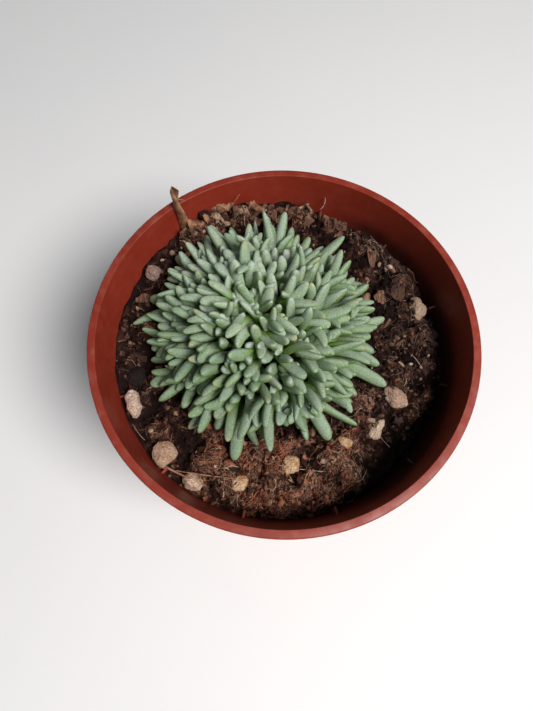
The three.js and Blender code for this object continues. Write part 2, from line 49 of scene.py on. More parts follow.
print("nodes in the frame:", len(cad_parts))

# %% [markdown]
# ## Small tools
# Operators act on whatever is selected. So one helper makes a single object active, another adds a primitive
# with nothing else selected, and a third opens edit mode and closes it again. The same lines could be
# written out at each use, but a short name keeps the steps of a piece in view.

# %% Helpers for selecting, editing and modifiers
MM = 0.001


def only(obj):
    bpy.ops.object.select_all(action="DESELECT")
    obj.select_set(True)
    bpy.context.view_layer.objects.active = obj
    return obj


def primitive(add_operator, **settings):
    """A new primitive. Nothing else is selected, so the next operator acts on it alone."""
    bpy.ops.object.select_all(action="DESELECT")
    add_operator(**settings)
    return bpy.context.object


@contextmanager
def editing(obj):
    """Edit mode with the whole mesh selected, and object mode again afterwards."""
    only(obj)
    bpy.ops.object.mode_set(mode="EDIT")
    bpy.ops.mesh.select_all(action="SELECT")
    yield
    bpy.ops.object.mode_set(mode="OBJECT")


def modify(obj, kind, **values):
    only(obj)
    modifier = obj.modifiers.new(kind.title(), kind)
    for name, value in values.items():
        setattr(modifier, name, value)
    bpy.ops.object.modifier_apply(modifier=modifier.name)


def place(obj):
    """Moves an object's place, turn and scale into its mesh."""
    only(obj)
    bpy.ops.object.transform_apply(location=True, rotation=True, scale=True)
    return obj


def outward(obj):
    """Merges doubles, drops stray edges and turns every face outwards."""
    with editing(obj):
        bpy.ops.mesh.remove_doubles(threshold=0.002 * MM)
        bpy.ops.mesh.delete_loose(use_verts=True, use_edges=True, use_faces=False)
        bpy.ops.mesh.select_all(action="SELECT")
        bpy.ops.mesh.normals_make_consistent(inside=False)


print("one millimetre in Blender's metres:", MM)

# %% [markdown]
# A shaping formula is easiest to read when it works on all points at once, so points are read and written
# as arrays. What repeats, such as a leaf or a crumb, is modelled once and copied. The copies are written as
# one mesh, because thousands of separate objects would be slow to join. Each point can carry a number of
# its own, such as a tint, which a material reads later.


# %% Helpers for points and copies
def points(obj):
    flat = np.empty(len(obj.data.vertices) * 3, "f")
    obj.data.vertices.foreach_get("co", flat)
    return flat.reshape(-1, 3).astype(float) / MM


def set_points(obj, at):
    obj.data.vertices.foreach_set("co", (np.asarray(at) * MM).astype("f").ravel())
    obj.data.update()


def set_layer(mesh, layer, values):
    data = mesh.attributes.new(layer, "FLOAT", "POINT").data
    data.foreach_set("value", np.asarray(values, "f").ravel())


def copies(name, template, shapes, **layers):
    """One mesh of many copies of a template. shapes is (copies, points, 3), in millimetres."""
    count, size = shapes.shape[:2]
    faces = [tuple(face.vertices) for face in template.data.polygons]
    shifted = [tuple(v + size * k for v in face) for k in range(count) for face in faces]
    mesh = bpy.data.meshes.new(name)
    mesh.from_pydata((shapes.reshape(-1, 3) * MM).tolist(), [], shifted)
    for layer, values in layers.items():
        set_layer(mesh, layer, np.broadcast_to(values, (count, size)))
    obj = bpy.data.objects.new(name, mesh)
    scene.collection.objects.link(obj)
    return obj


# %% [markdown] Every finished piece goes through one helper.


# %% Helpers for joining and finishing
def discard(*objects):
    for obj in objects:
        bpy.data.objects.remove(obj)


def join(objects):
    only(objects[0])
    for obj in objects[1:]:
        obj.select_set(True)
    if len(objects) > 1:
        bpy.ops.object.join()
    return objects[0]


def dress(obj, name, material, slot, *nodes, angle=None):
    obj.name = obj.data.name = name
    obj.data.materials.clear()
    obj.data.materials.append(material)
    only(obj)
    if angle is None:
        bpy.ops.object.shade_smooth()
    else:
        bpy.ops.object.shade_smooth_by_angle(angle=math.radians(angle))
    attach(obj, "root")
    if nodes:
        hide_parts(*nodes)
    print(f"{name}: {sum(len(face.vertices) - 2 for face in obj.data.polygons)} triangles")
    return obj


# %% [markdown]
# ## Measured values
# The pot's rim is 105 mm across. The camera was fitted to the rim's outline, and what the picture shows was
# then read off through that camera. The pot's outside and foot are hidden in it, so they have the usual
# sizes of such a pot. All are the same values as in the solid model.

# %% Values of the pot
POT_HEIGHT, RIM_OUTER_R, LIP_WIDTH, WALL = 88.0, 52.5, 2.2, 1.0
FOOT_OUTER_R, FOOT_WIDTH, FLOOR_TOP, FLOOR_UNDERSIDE = 38.5, 3.2, 3.2, 2.0
COLLAR_DEPTH, COLLAR_SKIRT = 14.0, 0.9
DRAIN_HOLE_R, HOLE_RING_R = 3.6, 25.0
LIP_INNER_R = RIM_OUTER_R - LIP_WIDTH
# How far the wall leans out for each millimetre of height
TAPER = (LIP_INNER_R - (FOOT_OUTER_R - WALL)) / (POT_HEIGHT - FLOOR_TOP)


def wall_inner_r(z):
    return LIP_INNER_R - (POT_HEIGHT - z) * TAPER


print(f"the wall leans out by {math.degrees(math.atan(TAPER)):.1f} degrees")

# %% [markdown]
# ## Camera
# The picture looks steeply down into the pot, 70 degrees above the horizon. The fit gave the eye's distance
# and a focal length in pixels. Blender wants the lens in millimetres on a 36 mm sensor that spans the longer
# side of the frame, so the one is turned into the other.

# %% Camera
FOCAL_PIXELS, FRAME_HEIGHT_PIXELS, SENSOR = 534, 711, 36
eye = Vector((-4.64, -53.75, POT_HEIGHT + 132.27)) * MM
aim = Vector((-4.64, -6.68, POT_HEIGHT)) * MM
camera = bpy.data.objects.new("camera", bpy.data.cameras.new("camera"))
camera.data.sensor_width = SENSOR
camera.data.lens = SENSOR * FOCAL_PIXELS / FRAME_HEIGHT_PIXELS
camera.data.clip_start = 0.01
camera.location = eye
camera.rotation_euler = (aim - eye).to_track_quat("-Z", "Y").to_euler()
scene.collection.objects.link(camera)
scene.camera = camera
scene.view_settings.view_transform = "Standard"
print(f"lens: {camera.data.lens:.1f} mm")

# %% [markdown]
# ## Light and floor
# The shadows in the pot are soft, so the light is a wide disk and not a sun, whose shadows would be hard. It
# stands to the front right: the pot's wall shades the compost on that side, and the far wall is bright. A
# weak, cool light from the left and a pale sky fill the shadows. The floor is one plain, pale plane.


# %% Lights, sky and floor
def soft_light(name, azimuth, elevation, distance, size, power, color):
    light = bpy.data.lights.new(name, "AREA")
    light.shape, light.size, light.energy, light.color = "DISK", size, power, color
    obj = bpy.data.objects.new(name, light)
    a, e = math.radians(azimuth), math.radians(elevation)
    way = Vector((math.cos(a) * math.cos(e), math.sin(a) * math.cos(e), math.sin(e)))
    middle = Vector((0, 0, POT_HEIGHT * MM))
    obj.location = middle + way * distance
    obj.rotation_euler = (-way).to_track_quat("-Z", "Y").to_euler()
    scene.collection.objects.link(obj)
    print(f"{name}: {power} W, {size} m across")


soft_light("main_light", azimuth=-40, elevation=56, distance=0.8, size=0.36, power=7.4,
           color=(1.0, 0.975, 0.95))
soft_light("left_light", azimuth=170, elevation=76, distance=0.9, size=0.7, power=0.36,
           color=(0.82, 0.91, 1.0))
scene.world = bpy.data.worlds.new("sky")
scene.world.use_nodes = True
sky = scene.world.node_tree.nodes["Background"]
sky.inputs["Color"].default_value = (0.9, 0.95, 1.0, 1)
sky.inputs["Strength"].default_value = 0.11

floor = primitive(bpy.ops.mesh.primitive_plane_add, size=4)
floor.name = "floor"

# %% [markdown]
# ## Node helpers
# A material is a small graph. It could be wired in the shader editor, but in a script each node takes
# several lines. These helpers add a node, join what feeds it and return its output, so that each material
# below reads like a recipe. Colours are given as a painter's values from 0 to 255.


# %% Colours, sums and blends
def rgb(*levels):
    """Linear colour of red, green and blue that are given from 0 to 255."""
    shares = [level / 255 for level in levels]
    return tuple(c / 12.92 if c < 0.0404 else ((c + 0.055) / 1.055) ** 2.4 for c in shares) + (1,)


def feed(tree, socket, value):
    if isinstance(value, bpy.types.NodeSocket):
        tree.links.new(value, socket)
    else:
        socket.default_value = value


def add(tree, kind, inputs=None, out=0, **settings):
    made = tree.nodes.new(kind)
    for name, value in settings.items():
        setattr(made, name, value)
    for name, value in (inputs or {}).items():
        feed(tree, made.inputs[name], value)
    return made.outputs[out]


def calc(tree, operation, a, b=0.0, clamp=False):
    return add(tree, "ShaderNodeMath", {0: a, 1: b}, operation=operation, use_clamp=clamp)


def times(tree, first, *others):
    """All the values multiplied, one after another."""
    for other in others:
        first = calc(tree, "MULTIPLY", first, other)
    return first


def blend(tree, share, a, b):
    """Colour a, with colour b over it where share is 1. A Mix node's colour sockets are 6, 7 and 2."""
    return add(tree, "ShaderNodeMix", {0: share, 6: a, 7: b}, out=2, data_type="RGBA")


def span(tree, value, low, high, to_low=0.0, to_high=1.0):
    """A soft step from to_low, where value is low, to to_high, where it is high."""
    ends = {"Value": value, "From Min": low, "From Max": high, "To Min": to_low, "To Max": to_high}
    return add(tree, "ShaderNodeMapRange", ends, interpolation_type="SMOOTHSTEP")


# %% [markdown]
# Patterns are laid out in the object's own coordinates. So they stay where they are on a piece, whatever the
# camera does, and a stain can be put at its real height on the wall.


# %% Places, patterns and materials
def place_of(tree):
    return add(tree, "ShaderNodeTexCoord", out="Object")


def split_place(tree):
    """The outputs X, Y and Z of a point's place."""
    split = tree.nodes.new("ShaderNodeSeparateXYZ")
    feed(tree, split.inputs[0], place_of(tree))
    return split.outputs


def spoke(tree):
    """The level way from the pot's axis to a point."""
    return add(tree, "ShaderNodeVectorMath", {0: place_of(tree), 1: (1, 1, 0)}, operation="MULTIPLY")


def length_of(tree, vector):
    return add(tree, "ShaderNodeVectorMath", {0: vector}, out="Value", operation="LENGTH")


def dot(tree, a, b):
    return add(tree, "ShaderNodeVectorMath", {0: a, 1: b}, out="Value", operation="DOT_PRODUCT")


def facing_up(tree):
    """1 where the surface faces up, 0 on an upright side and -1 underneath."""
    normal = add(tree, "ShaderNodeNewGeometry", out="Normal")
    return add(tree, "ShaderNodeSeparateXYZ", {0: normal}, out="Z")


def attribute(tree, name):
    return add(tree, "ShaderNodeAttribute", out="Fac", attribute_name=name)


def cloud(tree, scale, detail=3.0, rough=0.5, where=None):
    source = {"Vector": where or place_of(tree), "Scale": scale, "Detail": detail, "Roughness": rough}
    return add(tree, "ShaderNodeTexNoise", source, out="Fac")


def bump(tree, height, distance, strength=1.0):
    return add(tree, "ShaderNodeBump", {"Height": height, "Distance": distance, "Strength": strength})


def new_material(name, **plain):
    """A material with its Principled shader, and the plain values set on the shader's own sockets."""
    material = bpy.data.materials.new(name)
    material.use_nodes = True
    shader = material.node_tree.nodes["Principled BSDF"]
    for socket, value in plain.items():
        shader.inputs[socket.replace("_", " ")].default_value = value
    return material, material.node_tree, shader.inputs


# %% [markdown]
# ## Shared effects
# Three effects come back in several finishes, so each is a node group, built once. "Specks" scatters small
# dots. "Mottle" drifts between two colours in soft patches. "Dust" lays a thin film on what faces up. A
# fourth, "Area", tells where on the compost a point lies, and it is built with the compost.


# %% Making and using a node group
def new_group(name, inputs, outputs):
    tree = bpy.data.node_groups.new(name, "ShaderNodeTree")
    for label, kind in inputs:
        tree.interface.new_socket(label, in_out="INPUT", socket_type="NodeSocket" + kind)
    for label, kind in outputs:
        tree.interface.new_socket(label, in_out="OUTPUT", socket_type="NodeSocket" + kind)
    return tree, tree.nodes.new("NodeGroupInput").outputs, tree.nodes.new("NodeGroupOutput").inputs


def grouped(tree, name, inputs, out=0):
    made = tree.nodes.new("ShaderNodeGroup")
    made.node_tree = bpy.data.node_groups[name]
    for label, value in inputs.items():
        feed(tree, made.inputs[label], value)
    return made.outputs[out]


# %% Specks, mottle and dust
tree, given, result = new_group("Specks", [("Scale", "Float"), ("Size", "Float")], [("Mask", "Float")])
cells = {"Vector": place_of(tree), "Scale": given["Scale"], "Randomness": 1.0}
distance = add(tree, "ShaderNodeTexVoronoi", cells, out="Distance")
feed(tree, result["Mask"], span(tree, distance, given["Size"], 0.0))

mottle_in = [("Color A", "Color"), ("Color B", "Color"), ("Scale", "Float"), ("Edge", "Float")]
tree, given, result = new_group("Mottle", mottle_in, [("Color", "Color")])
soft = cloud(tree, given["Scale"], 5.0, 0.6)
low = calc(tree, "SUBTRACT", 0.5, given["Edge"])
high = calc(tree, "ADD", 0.5, given["Edge"])
mixed = blend(tree, span(tree, soft, low, high), given["Color A"], given["Color B"])
feed(tree, result["Color"], mixed)

dust_in = [("Color", "Color"), ("Film", "Color"), ("Amount", "Float")]
tree, given, result = new_group("Dust", dust_in, [("Color", "Color")])
patchy = span(tree, cloud(tree, 260.0, 4.0, 0.65), 0.4, 0.75)
film = times(tree, span(tree, facing_up(tree), -0.2, 0.9), patchy, given["Amount"])
feed(tree, result["Color"], blend(tree, film, given["Color"], given["Film"]))
print("node groups:", ", ".join(bpy.data.node_groups.keys()))

# %% [markdown]
# The floor is plain and pale, as in the picture. It isn't one flat white, which would look like a hole: two
# near-whites drift into each other over it.

# %% Floor finish
material, tree, to = new_material("pale_floor", Roughness=0.7)
feed(tree, to["Base Color"], grouped(tree, "Mottle", {
    "Color A": rgb(250, 250, 251), "Color B": rgb(253, 253, 253), "Scale": 4.0, "Edge": 0.2}))
floor.data.materials.append(material)
print("floor finish:", material.name)

# %% [markdown]
# ## The pot
# A nursery pot is one thin moulding: a tapered wall, a collar that turns down outside, a raised floor with
# holes, and thin upright ribs inside that keep stacked pots apart. It could be built from cylinders, but it
# is round all over, so its section is drawn once and spun, which gives the lip and the foot their true
# edges. A circle of points gives a closed outline, and each point is then moved to its place.

# %% The pot's section
collar_bottom = POT_HEIGHT - COLLAR_DEPTH
channel_top = POT_HEIGHT - 2.4


def skirt_inner_r(z):
    return RIM_OUTER_R - COLLAR_SKIRT - (POT_HEIGHT - z) * 0.05


foot_inner_r, skirt_foot_r = FOOT_OUTER_R - FOOT_WIDTH, skirt_inner_r(collar_bottom)
# From the hole in the middle: along the underside, round the foot, up the outside, over the lip and down
# the inside to the floor
pot_section = [
    (DRAIN_HOLE_R, FLOOR_TOP), (DRAIN_HOLE_R, FLOOR_UNDERSIDE), (foot_inner_r - 0.3, FLOOR_UNDERSIDE),
    (foot_inner_r, FLOOR_UNDERSIDE - 0.3), (foot_inner_r + 0.35, 0.25),
    (foot_inner_r + 0.6, 0), (FOOT_OUTER_R - 0.6, 0), (FOOT_OUTER_R - 0.15, 0.3),
    (wall_inner_r(4) + WALL, 4.0), (wall_inner_r(30) + WALL, 30.0), (wall_inner_r(55) + WALL, 55.0),
    (wall_inner_r(collar_bottom) + WALL, collar_bottom), (wall_inner_r(channel_top) + WALL, channel_top),
    (skirt_inner_r(channel_top), channel_top), (skirt_foot_r, collar_bottom + 0.2),
    (skirt_foot_r + 0.25, collar_bottom), (skirt_foot_r + 0.65, collar_bottom),
    (skirt_foot_r + COLLAR_SKIRT, collar_bottom + 0.25),
    (RIM_OUTER_R - 0.25, 82.0), (RIM_OUTER_R, 87.5), (RIM_OUTER_R - 0.06, 87.76), (RIM_OUTER_R - 0.2, 87.93),
    (RIM_OUTER_R - 0.42, POT_HEIGHT), (LIP_INNER_R + 0.1, POT_HEIGHT), (LIP_INNER_R, 87.9),
    (wall_inner_r(86.4), 86.4), (wall_inner_r(80), 80.0), (wall_inner_r(70), 70.0), (wall_inner_r(55), 55.0),
    (wall_inner_r(30), 30.0), (wall_inner_r(5.2), 5.2), (wall_inner_r(4.0) - 0.4, 4.0),
    (wall_inner_r(FLOOR_TOP) - 1.6, FLOOR_TOP)]
print("pot outline points:", len(pot_section))


# %% Spin the section
def spun(section, steps):
    """A solid of revolution from a closed section of (radius, height) points."""
    obj = primitive(bpy.ops.mesh.primitive_circle_add, vertices=len(section), radius=0.01,
                    fill_type="NOTHING")
    set_points(obj, [(r, 0, z) for r, z in section])
    with editing(obj):
        bpy.ops.mesh.spin(steps=steps, angle=2 * math.pi, center=(0, 0, 0), axis=(0, 0, 1))
    outward(obj)
    return obj


pot = spun(pot_section, 160)
print("pot faces before the ribs:", len(pot.data.polygons))

# %% [markdown]
# The ribs are twelve thin fins below the collar. One is shaped from a box whose outer side follows the
# wall's taper, so that its upright inner edge runs out into the wall lower down. A small bevel gives it the
# soft edges of a moulding, and it is copied all round. The hole in the middle of the floor is left open by
# the section. Eight more holes and the notches in the foot are cut with booleans, by a drill and a saw that
# are meshes themselves.

# %% Ribs, drain holes and foot notches
RIB_PROUD, RIB_THICKNESS, RIB_FIRST_ANGLE, RIB_SPACING = 2.1, 0.65, 17, 30
HOLE_SPACING, NOTCH_WIDTH, NOTCH_DEPTH = 45, 7, 1.2
rib_edge = wall_inner_r(collar_bottom) - RIB_PROUD
rib_foot = POT_HEIGHT - (LIP_INNER_R - rib_edge) / TAPER


def box(x, y, z, width, depth, height):
    obj = primitive(bpy.ops.mesh.primitive_cube_add, size=1, location=(x * MM, y * MM, z * MM))
    obj.scale = (width * MM, depth * MM, height * MM)
    return place(obj)


def turned_copies(obj, angles):
    made = []
    for angle in angles:
        other = obj.copy()
        other.data = obj.data.copy()
        other.data.transform(Matrix.Rotation(math.radians(angle), 4, "Z"))
        scene.collection.objects.link(other)
        made.append(other)
    discard(obj)
    return join(made)


rib = box(rib_edge + 1.5, 0, (collar_bottom + rib_foot) / 2, 3, RIB_THICKNESS, collar_bottom - rib_foot)
at = points(rib)
outer_side = at[:, 0] > rib_edge + 1
at[outer_side, 0] = wall_inner_r(at[outer_side, 2]) + WALL / 2
set_points(rib, at)
modify(rib, "BEVEL", width=0.16 * MM, segments=2, limit_method="ANGLE", angle_limit=0.7)
ribs = turned_copies(rib, range(RIB_FIRST_ANGLE, 360 + RIB_FIRST_ANGLE, RIB_SPACING))

drill = primitive(bpy.ops.mesh.primitive_cylinder_add, vertices=32, radius=DRAIN_HOLE_R * MM, depth=6 * MM,
                  location=(HOLE_RING_R * MM, 0, FLOOR_TOP * MM))
hole_angles = range(0, 360, HOLE_SPACING)
holes = turned_copies(place(drill), hole_angles)
saw = box(FOOT_OUTER_R, 0, 0, FOOT_WIDTH * 4, NOTCH_WIDTH, 2 * NOTCH_DEPTH)
notches = turned_copies(saw, [angle + HOLE_SPACING / 2 for angle in hole_angles])
for tool, operation in ((ribs, "UNION"), (holes, "DIFFERENCE"), (notches, "DIFFERENCE")):
    modify(pot, "BOOLEAN", object=tool, operation=operation, solver="EXACT")
discard(ribs, holes, notches)
print("pot faces:", len(pot.data.polygons))

# %% [markdown]
# The plastic is a terracotta-coloured polypropylene with a satin face. It isn't one flat red: the moulding
# has a fine grain, a pale film lies on what faces up, and watering has left brown splashes on the inner
# wall, thickest just above the compost. The inner wall at the right is painted dark as shade, darkest low
# down near the compost, and the film is thinner there. A dot product tells the inside of the pot from its
# outside: inside, the surface faces the pot's own axis.

# %% Pot finish
material, tree, to = new_material("terracotta_plastic", IOR=1.46)
where = split_place(tree)
body = grouped(tree, "Mottle", {
    "Color A": rgb(146, 49, 31), "Color B": rgb(134, 43, 27), "Scale": 90.0, "Edge": 0.25})
outwards = dot(tree, spoke(tree), add(tree, "ShaderNodeNewGeometry", out="Normal"))
inside = calc(tree, "LESS_THAN", outwards, 0.0)
near_soil = times(tree, inside, span(tree, where["Z"], 84 * MM, 73 * MM))
splash = times(tree, grouped(tree, "Specks", {"Scale": 700.0, "Size": 0.3}), near_soil)
splash = times(tree, splash, span(tree, cloud(tree, 120.0), 0.45, 0.62))
body = blend(tree, splash, body, rgb(70, 32, 22))
smear = times(tree, span(tree, cloud(tree, 75.0, 6.0, 0.7), 0.45, 0.8), near_soil)
body = blend(tree, times(tree, smear, 0.24), body, rgb(106, 54, 40))
# Painted shade: the inner wall at the right is darkened, most of all low down
slanted = calc(tree, "SUBTRACT", where["X"], times(tree, where["Y"], 0.2))
shady = times(tree, inside, span(tree, slanted, 6 * MM, 44 * MM))
painted_wall_shade = times(tree, shady, span(tree, where["Z"], 87 * MM, 74 * MM))
body = blend(tree, times(tree, painted_wall_shade, 0.6), body, rgb(54, 19, 14))
# Painted shade: nearly black just above the compost at the right
lowest = times(tree, span(tree, where["Z"], 80 * MM, 74 * MM), span(tree, where["X"], 12 * MM, 30 * MM))
body = blend(tree, times(tree, lowest, inside, 0.75), body, rgb(22, 9, 7))
dots = grouped(tree, "Specks", {"Scale": 420.0, "Size": 0.12})
body = blend(tree, times(tree, dots, 0.3), body, rgb(176, 100, 82))
# The dust film is thinner where shade is painted, so that the shade stays dark
film = calc(tree, "SUBTRACT", 0.35, times(tree, shady, 0.28))
dusty = grouped(tree, "Dust", {"Color": body, "Film": rgb(178, 106, 90), "Amount": film})
feed(tree, to["Base Color"], dusty)
feed(tree, to["Roughness"], span(tree, cloud(tree, 300.0, 4.0), 0.3, 0.7, 0.42, 0.56))
feed(tree, to["Normal"], bump(tree, cloud(tree, 1600.0, 3.0), 0.04 * MM, 0.35))
dress(pot, "pot_body", material, "pot_plastic", "pot", angle=35)

# %% [markdown]
# ## The compost
# The compost fills the pot to about 13 mm below the rim. It is higher at the back, has slumped at the wall,
# is hollow at the front right, and stands off the wall at the back right. A section is spun into a plug
# with many fine rings, and its top is raised by the same height formula as the solid model. Clods, crumbs
# and creases are then added from cell noise, and each point remembers how high it stands on its clod.

# %% Height of the compost
SOIL_DEPTH = 13.5
# The middle of the plant's foot
CENTRE = np.array([-6.0, 4.0, 76.8])


def smoothstep(x, low, high):
    """0 up to low, 1 from high on, and a soft step between them."""
    t = np.clip((np.asarray(x, float) - low) / (high - low), 0, 1)
    return t * t * (3 - 2 * t)


def soil_height(x, y):
    uneven = 0.7 * np.sin(0.31 * x + 1.3) * np.sin(0.27 * y + 0.4)
    uneven = uneven + 0.45 * np.sin(0.63 * x - 0.41 * y + 2.0) + 0.3 * np.sin(0.9 * y + 0.5 * x)
    lumps = uneven * smoothstep(np.hypot(x - CENTRE[0], y - CENTRE[1]), 16, 30)
    tilt = -0.03 * x + 0.06 * y
    hollow = -5.5 * np.exp(-(((x - 31) / 11) ** 2) - ((y + 30) / 12) ** 2)
    slump = -1.1 * (1 + x / 90 - y / 60) * smoothstep(np.hypot(x, y), 40, 48)
    return POT_HEIGHT - SOIL_DEPTH + lumps + tilt + hollow + slump


print(f"compost under the plant's foot: {soil_height(*CENTRE[:2]):.1f} mm high")

# %% [markdown]
# The clods that stand out in the picture are put in one by one. Each is a low dome with an uneven outline.
# It knows how much coir it holds, and this later tints it and draws fibres to it.

# %% Clods that stand out
# Each clod's place, radius, height and share of coir
CLODS = (
    (-19.8, -31.4, 5.4, 2.4, 0.8), (-19.5, -23.0, 4.0, 1.8, 0.3), (-9.7, -30.7, 4.6, 2.0, 0.9),
    (-2.8, -29.8, 5.2, 2.2, 1.0), (-10.0, -42.0, 5.6, 2.0, 0.9), (-1.8, -40.5, 5.2, 2.2, 0.8),
    (7.2, -38.4, 4.4, 2.6, 1.0), (15.1, -31.0, 5.6, 2.8, 1.0), (18.0, -26.0, 3.6, 2.2, 0.9),
    (21.9, -15.9, 4.6, 2.2, 0.8), (33.5, -7.0, 4.0, 1.7, 0.3), (37.6, -17.0, 3.6, 1.6, 0.25),
    (42.6, -4.2, 3.2, 1.5, 0.2), (42.2, -13.0, 2.8, 1.6, 0.2), (-34.3, -23.6, 3.2, 1.4, 0.4),
    (-16.0, -38.2, 3.6, 1.8, 0.7), (12.7, -40.9, 4.0, 1.9, 0.7), (20.6, -36.2, 4.2, 2.0, 0.6),
    (28.0, 33.4, 3.6, 1.8, 0.5), (34.4, 28.6, 3.6, 2.1, 0.5), (39.0, 22.6, 3.0, 1.5, 0.4),
    (40.4, 5.0, 3.6, 1.6, 0.3), (-12.8, 43.4, 3.4, 1.6, 0.6), (5.8, 43.4, 3.8, 1.8, 0.6),
    (15.5, 41.0, 3.4, 1.6, 0.6), (-38.5, 5.0, 3.2, 1.4, 0.3), (-35.5, -9.0, 3.6, 1.5, 0.4),
    (-21.5, 41.6, 5.0, 3.2, 0.2), (-12.8, 45.0, 4.0, 2.4, 0.3), (-28.5, 36.0, 3.6, 2.0, 0.3))


def mounds(x, y):
    """Height and coir share of the clods that stand out."""
    high, coir = np.zeros_like(x), np.zeros_like(x)
    for k, (cx, cy, wide, tall, share) in enumerate(CLODS):
        a = np.arctan2(y - cy, x - cx)
        d = np.hypot(x - cx, y - cy) / wide * (1 + 0.16 * np.sin(3 * a + k) + 0.09 * np.sin(7 * a + 2 * k))
        dome = np.maximum(0, 1 - d ** 2.4) ** 0.6
        high, coir = np.maximum(high, 1.3 * tall * dome), np.maximum(coir, share * dome ** 0.3)
    return high, coir


print("clods that stand out:", len(CLODS))

# %% [markdown]
# Ten stones lie on the compost. Each presses its bed flat, so their places are needed before the clods are
# raised.

# %% Where the stones lie
# Each stone's place, width, depth and height, how far it is turned, the share of it that is sunk in the
# compost, and the phase of its lumps
STONES = (
    ("pumice_round_front_left", (-32.2, -30.3), (6.8, 6.6, 5.6), 20, 0.3, 0.4),
    ("pumice_long_left", (-41.6, -16.6), (4.6, 8.0, 4.4), 14, 0.3, 1.7),
    ("pumice_wall_front_left", (-24.6, -37.4), (5.8, 4.6, 4.4), -25, 0.35, 2.6),
    ("pumice_right", (32.2, -13.9), (5.2, 6.8, 4.6), 48, 0.25, 3.9),
    ("pumice_right_front", (26.9, -22.4), (3.4, 6.2, 3.6), -28, 0.4, 5.1),
    ("pumice_ochre_front", (2.0, -32.9), (5.2, 5.4, 4.0), 0, 0.45, 0.9),
    ("pumice_tan_front", (-11.8, -37.9), (5.2, 4.8, 4.0), 30, 0.45, 2.2),
    ("pumice_grey_left", (-38.4, 23.2), (4.8, 4.8, 4.4), 0, 0.3, 3.1),
    ("pumice_wall_right", (41.0, 14.0), (4.0, 6.0, 3.4), 25, 0.35, 4.4),
    ("lava_left", (-41.8, -8.6), (5.0, 5.4, 4.4), 10, 0.45, 5.6))
print("stones:", len(STONES))

# %% [markdown]
# Everywhere else the surface is made of clods and crumbs of every size. A displace modifier could raise them
# from a texture, but a formula can also be asked for the height at one place, and what lies on the compost
# needs that later.


# %% Clods of every size
def clod(x, y):
    """Height of the clods at one point, from cells of three sizes."""
    at = Vector((x, y, 0))
    at += Vector((noise.noise(at * 0.45), noise.noise(at * 0.45 + Vector((0, 31, 0))), 0)) * 2.2
    large = 2.6 * (0.5 - noise.voronoi(at * 0.19)[0][0])
    small = 1.5 * (0.45 - noise.voronoi(at * 0.55)[0][0])
    crumb = 0.5 * (0.45 - noise.voronoi(at * 1.6)[0][0])
    return large + small + crumb + 0.6 * noise.noise(at * 0.9)


def relief(x, y):
    """Clods as an array, flatter under the plant, beside the wall and around each stone."""
    x, y = (values.astype(float) for values in np.broadcast_arrays(x, y))
    rough = np.array([clod(a, b) for a, b in zip(x.ravel(), y.ravel())]).reshape(x.shape) + mounds(x, y)[0]
    under = 0.4 + 0.6 * smoothstep(np.hypot(x - CENTRE[0], y - CENTRE[1]), 8, 22)
    for _, (cx, cy), (wide, deep, _), *_ in STONES:
        beside = smoothstep(np.hypot(x - cx, y - cy), (wide + deep) * 0.22, (wide + deep) * 0.42)
        under = under * (0.15 + 0.85 * beside)
    return rough * under * (1 - 0.55 * smoothstep(np.hypot(x, y), 44.5, 47.5))


def surface(x, y):
    """Height of the bare compost, with the gap at the wall and the hollow."""
    crack = 2.0 * smoothstep(np.hypot(x, y), 44.6, 46.6) * smoothstep(x - y, 5, 45)
    crack = crack + 2.2 * smoothstep(np.hypot(x, y), 43.8, 46.2) * smoothstep(x + y, 50, 60)
    sunk = 2.6 * smoothstep(x - y, 54, 61)
    return soil_height(x, y) + relief(x, y) - crack - sunk


def standing_at(x, y):
    """0 in a crease, 1 on top of a clod."""
    return np.clip(0.5 + relief(x, y) / 3.0, 0, 1)


print(f"hollow: {float(surface(31, -30)):.1f} mm high, back: {float(surface(0, 40)):.1f} mm high")

# %% [markdown]
# The plug is spun like the pot and then raised to its height. At the wall each point is pulled back to just
# inside the pot, because the wall leans and the compost can't pass through it.

# %% Spin and raise the compost
RINGS, SPOKES = 130, 440
soil_level = POT_HEIGHT - SOIL_DEPTH
soil_edge = wall_inner_r(soil_level) - 0.12
rings = [soil_edge * (k / RINGS) ** 0.8 for k in range(RINGS + 1)]
soil_section = [(r, soil_level) for r in rings]
soil_section += [(wall_inner_r(40) - 0.15, 40), (wall_inner_r(6) - 0.15, 6)]
soil_section += [(wall_inner_r(3.5) - 2, 3.5), (0, 3.5)]
soil = spun(soil_section, SPOKES)
at = points(soil)
top = np.abs(at[:, 2] - soil_level) < 0.01
x, y = at[top, 0], at[top, 1]
z = surface(x, y)
reach = np.maximum(np.hypot(x, y), 0.01)
room = (wall_inner_r(z) - 0.12) / reach
pull = np.where(reach > soil_edge - 0.01, room, np.minimum(1, room))
at[top] = np.stack([x * pull, y * pull, z], axis=1)
set_points(soil, at)
standing, coir_share = np.zeros(len(at)), np.zeros(len(at))
standing[top] = standing_at(x, y)
coir_share[top] = mounds(x, y)[1]
set_layer(soil.data, "standing", standing)
set_layer(soil.data, "coir", coir_share)
print(f"compost: {int(top.sum())} points on top, {z.min():.1f} to {z.max():.1f} mm high")
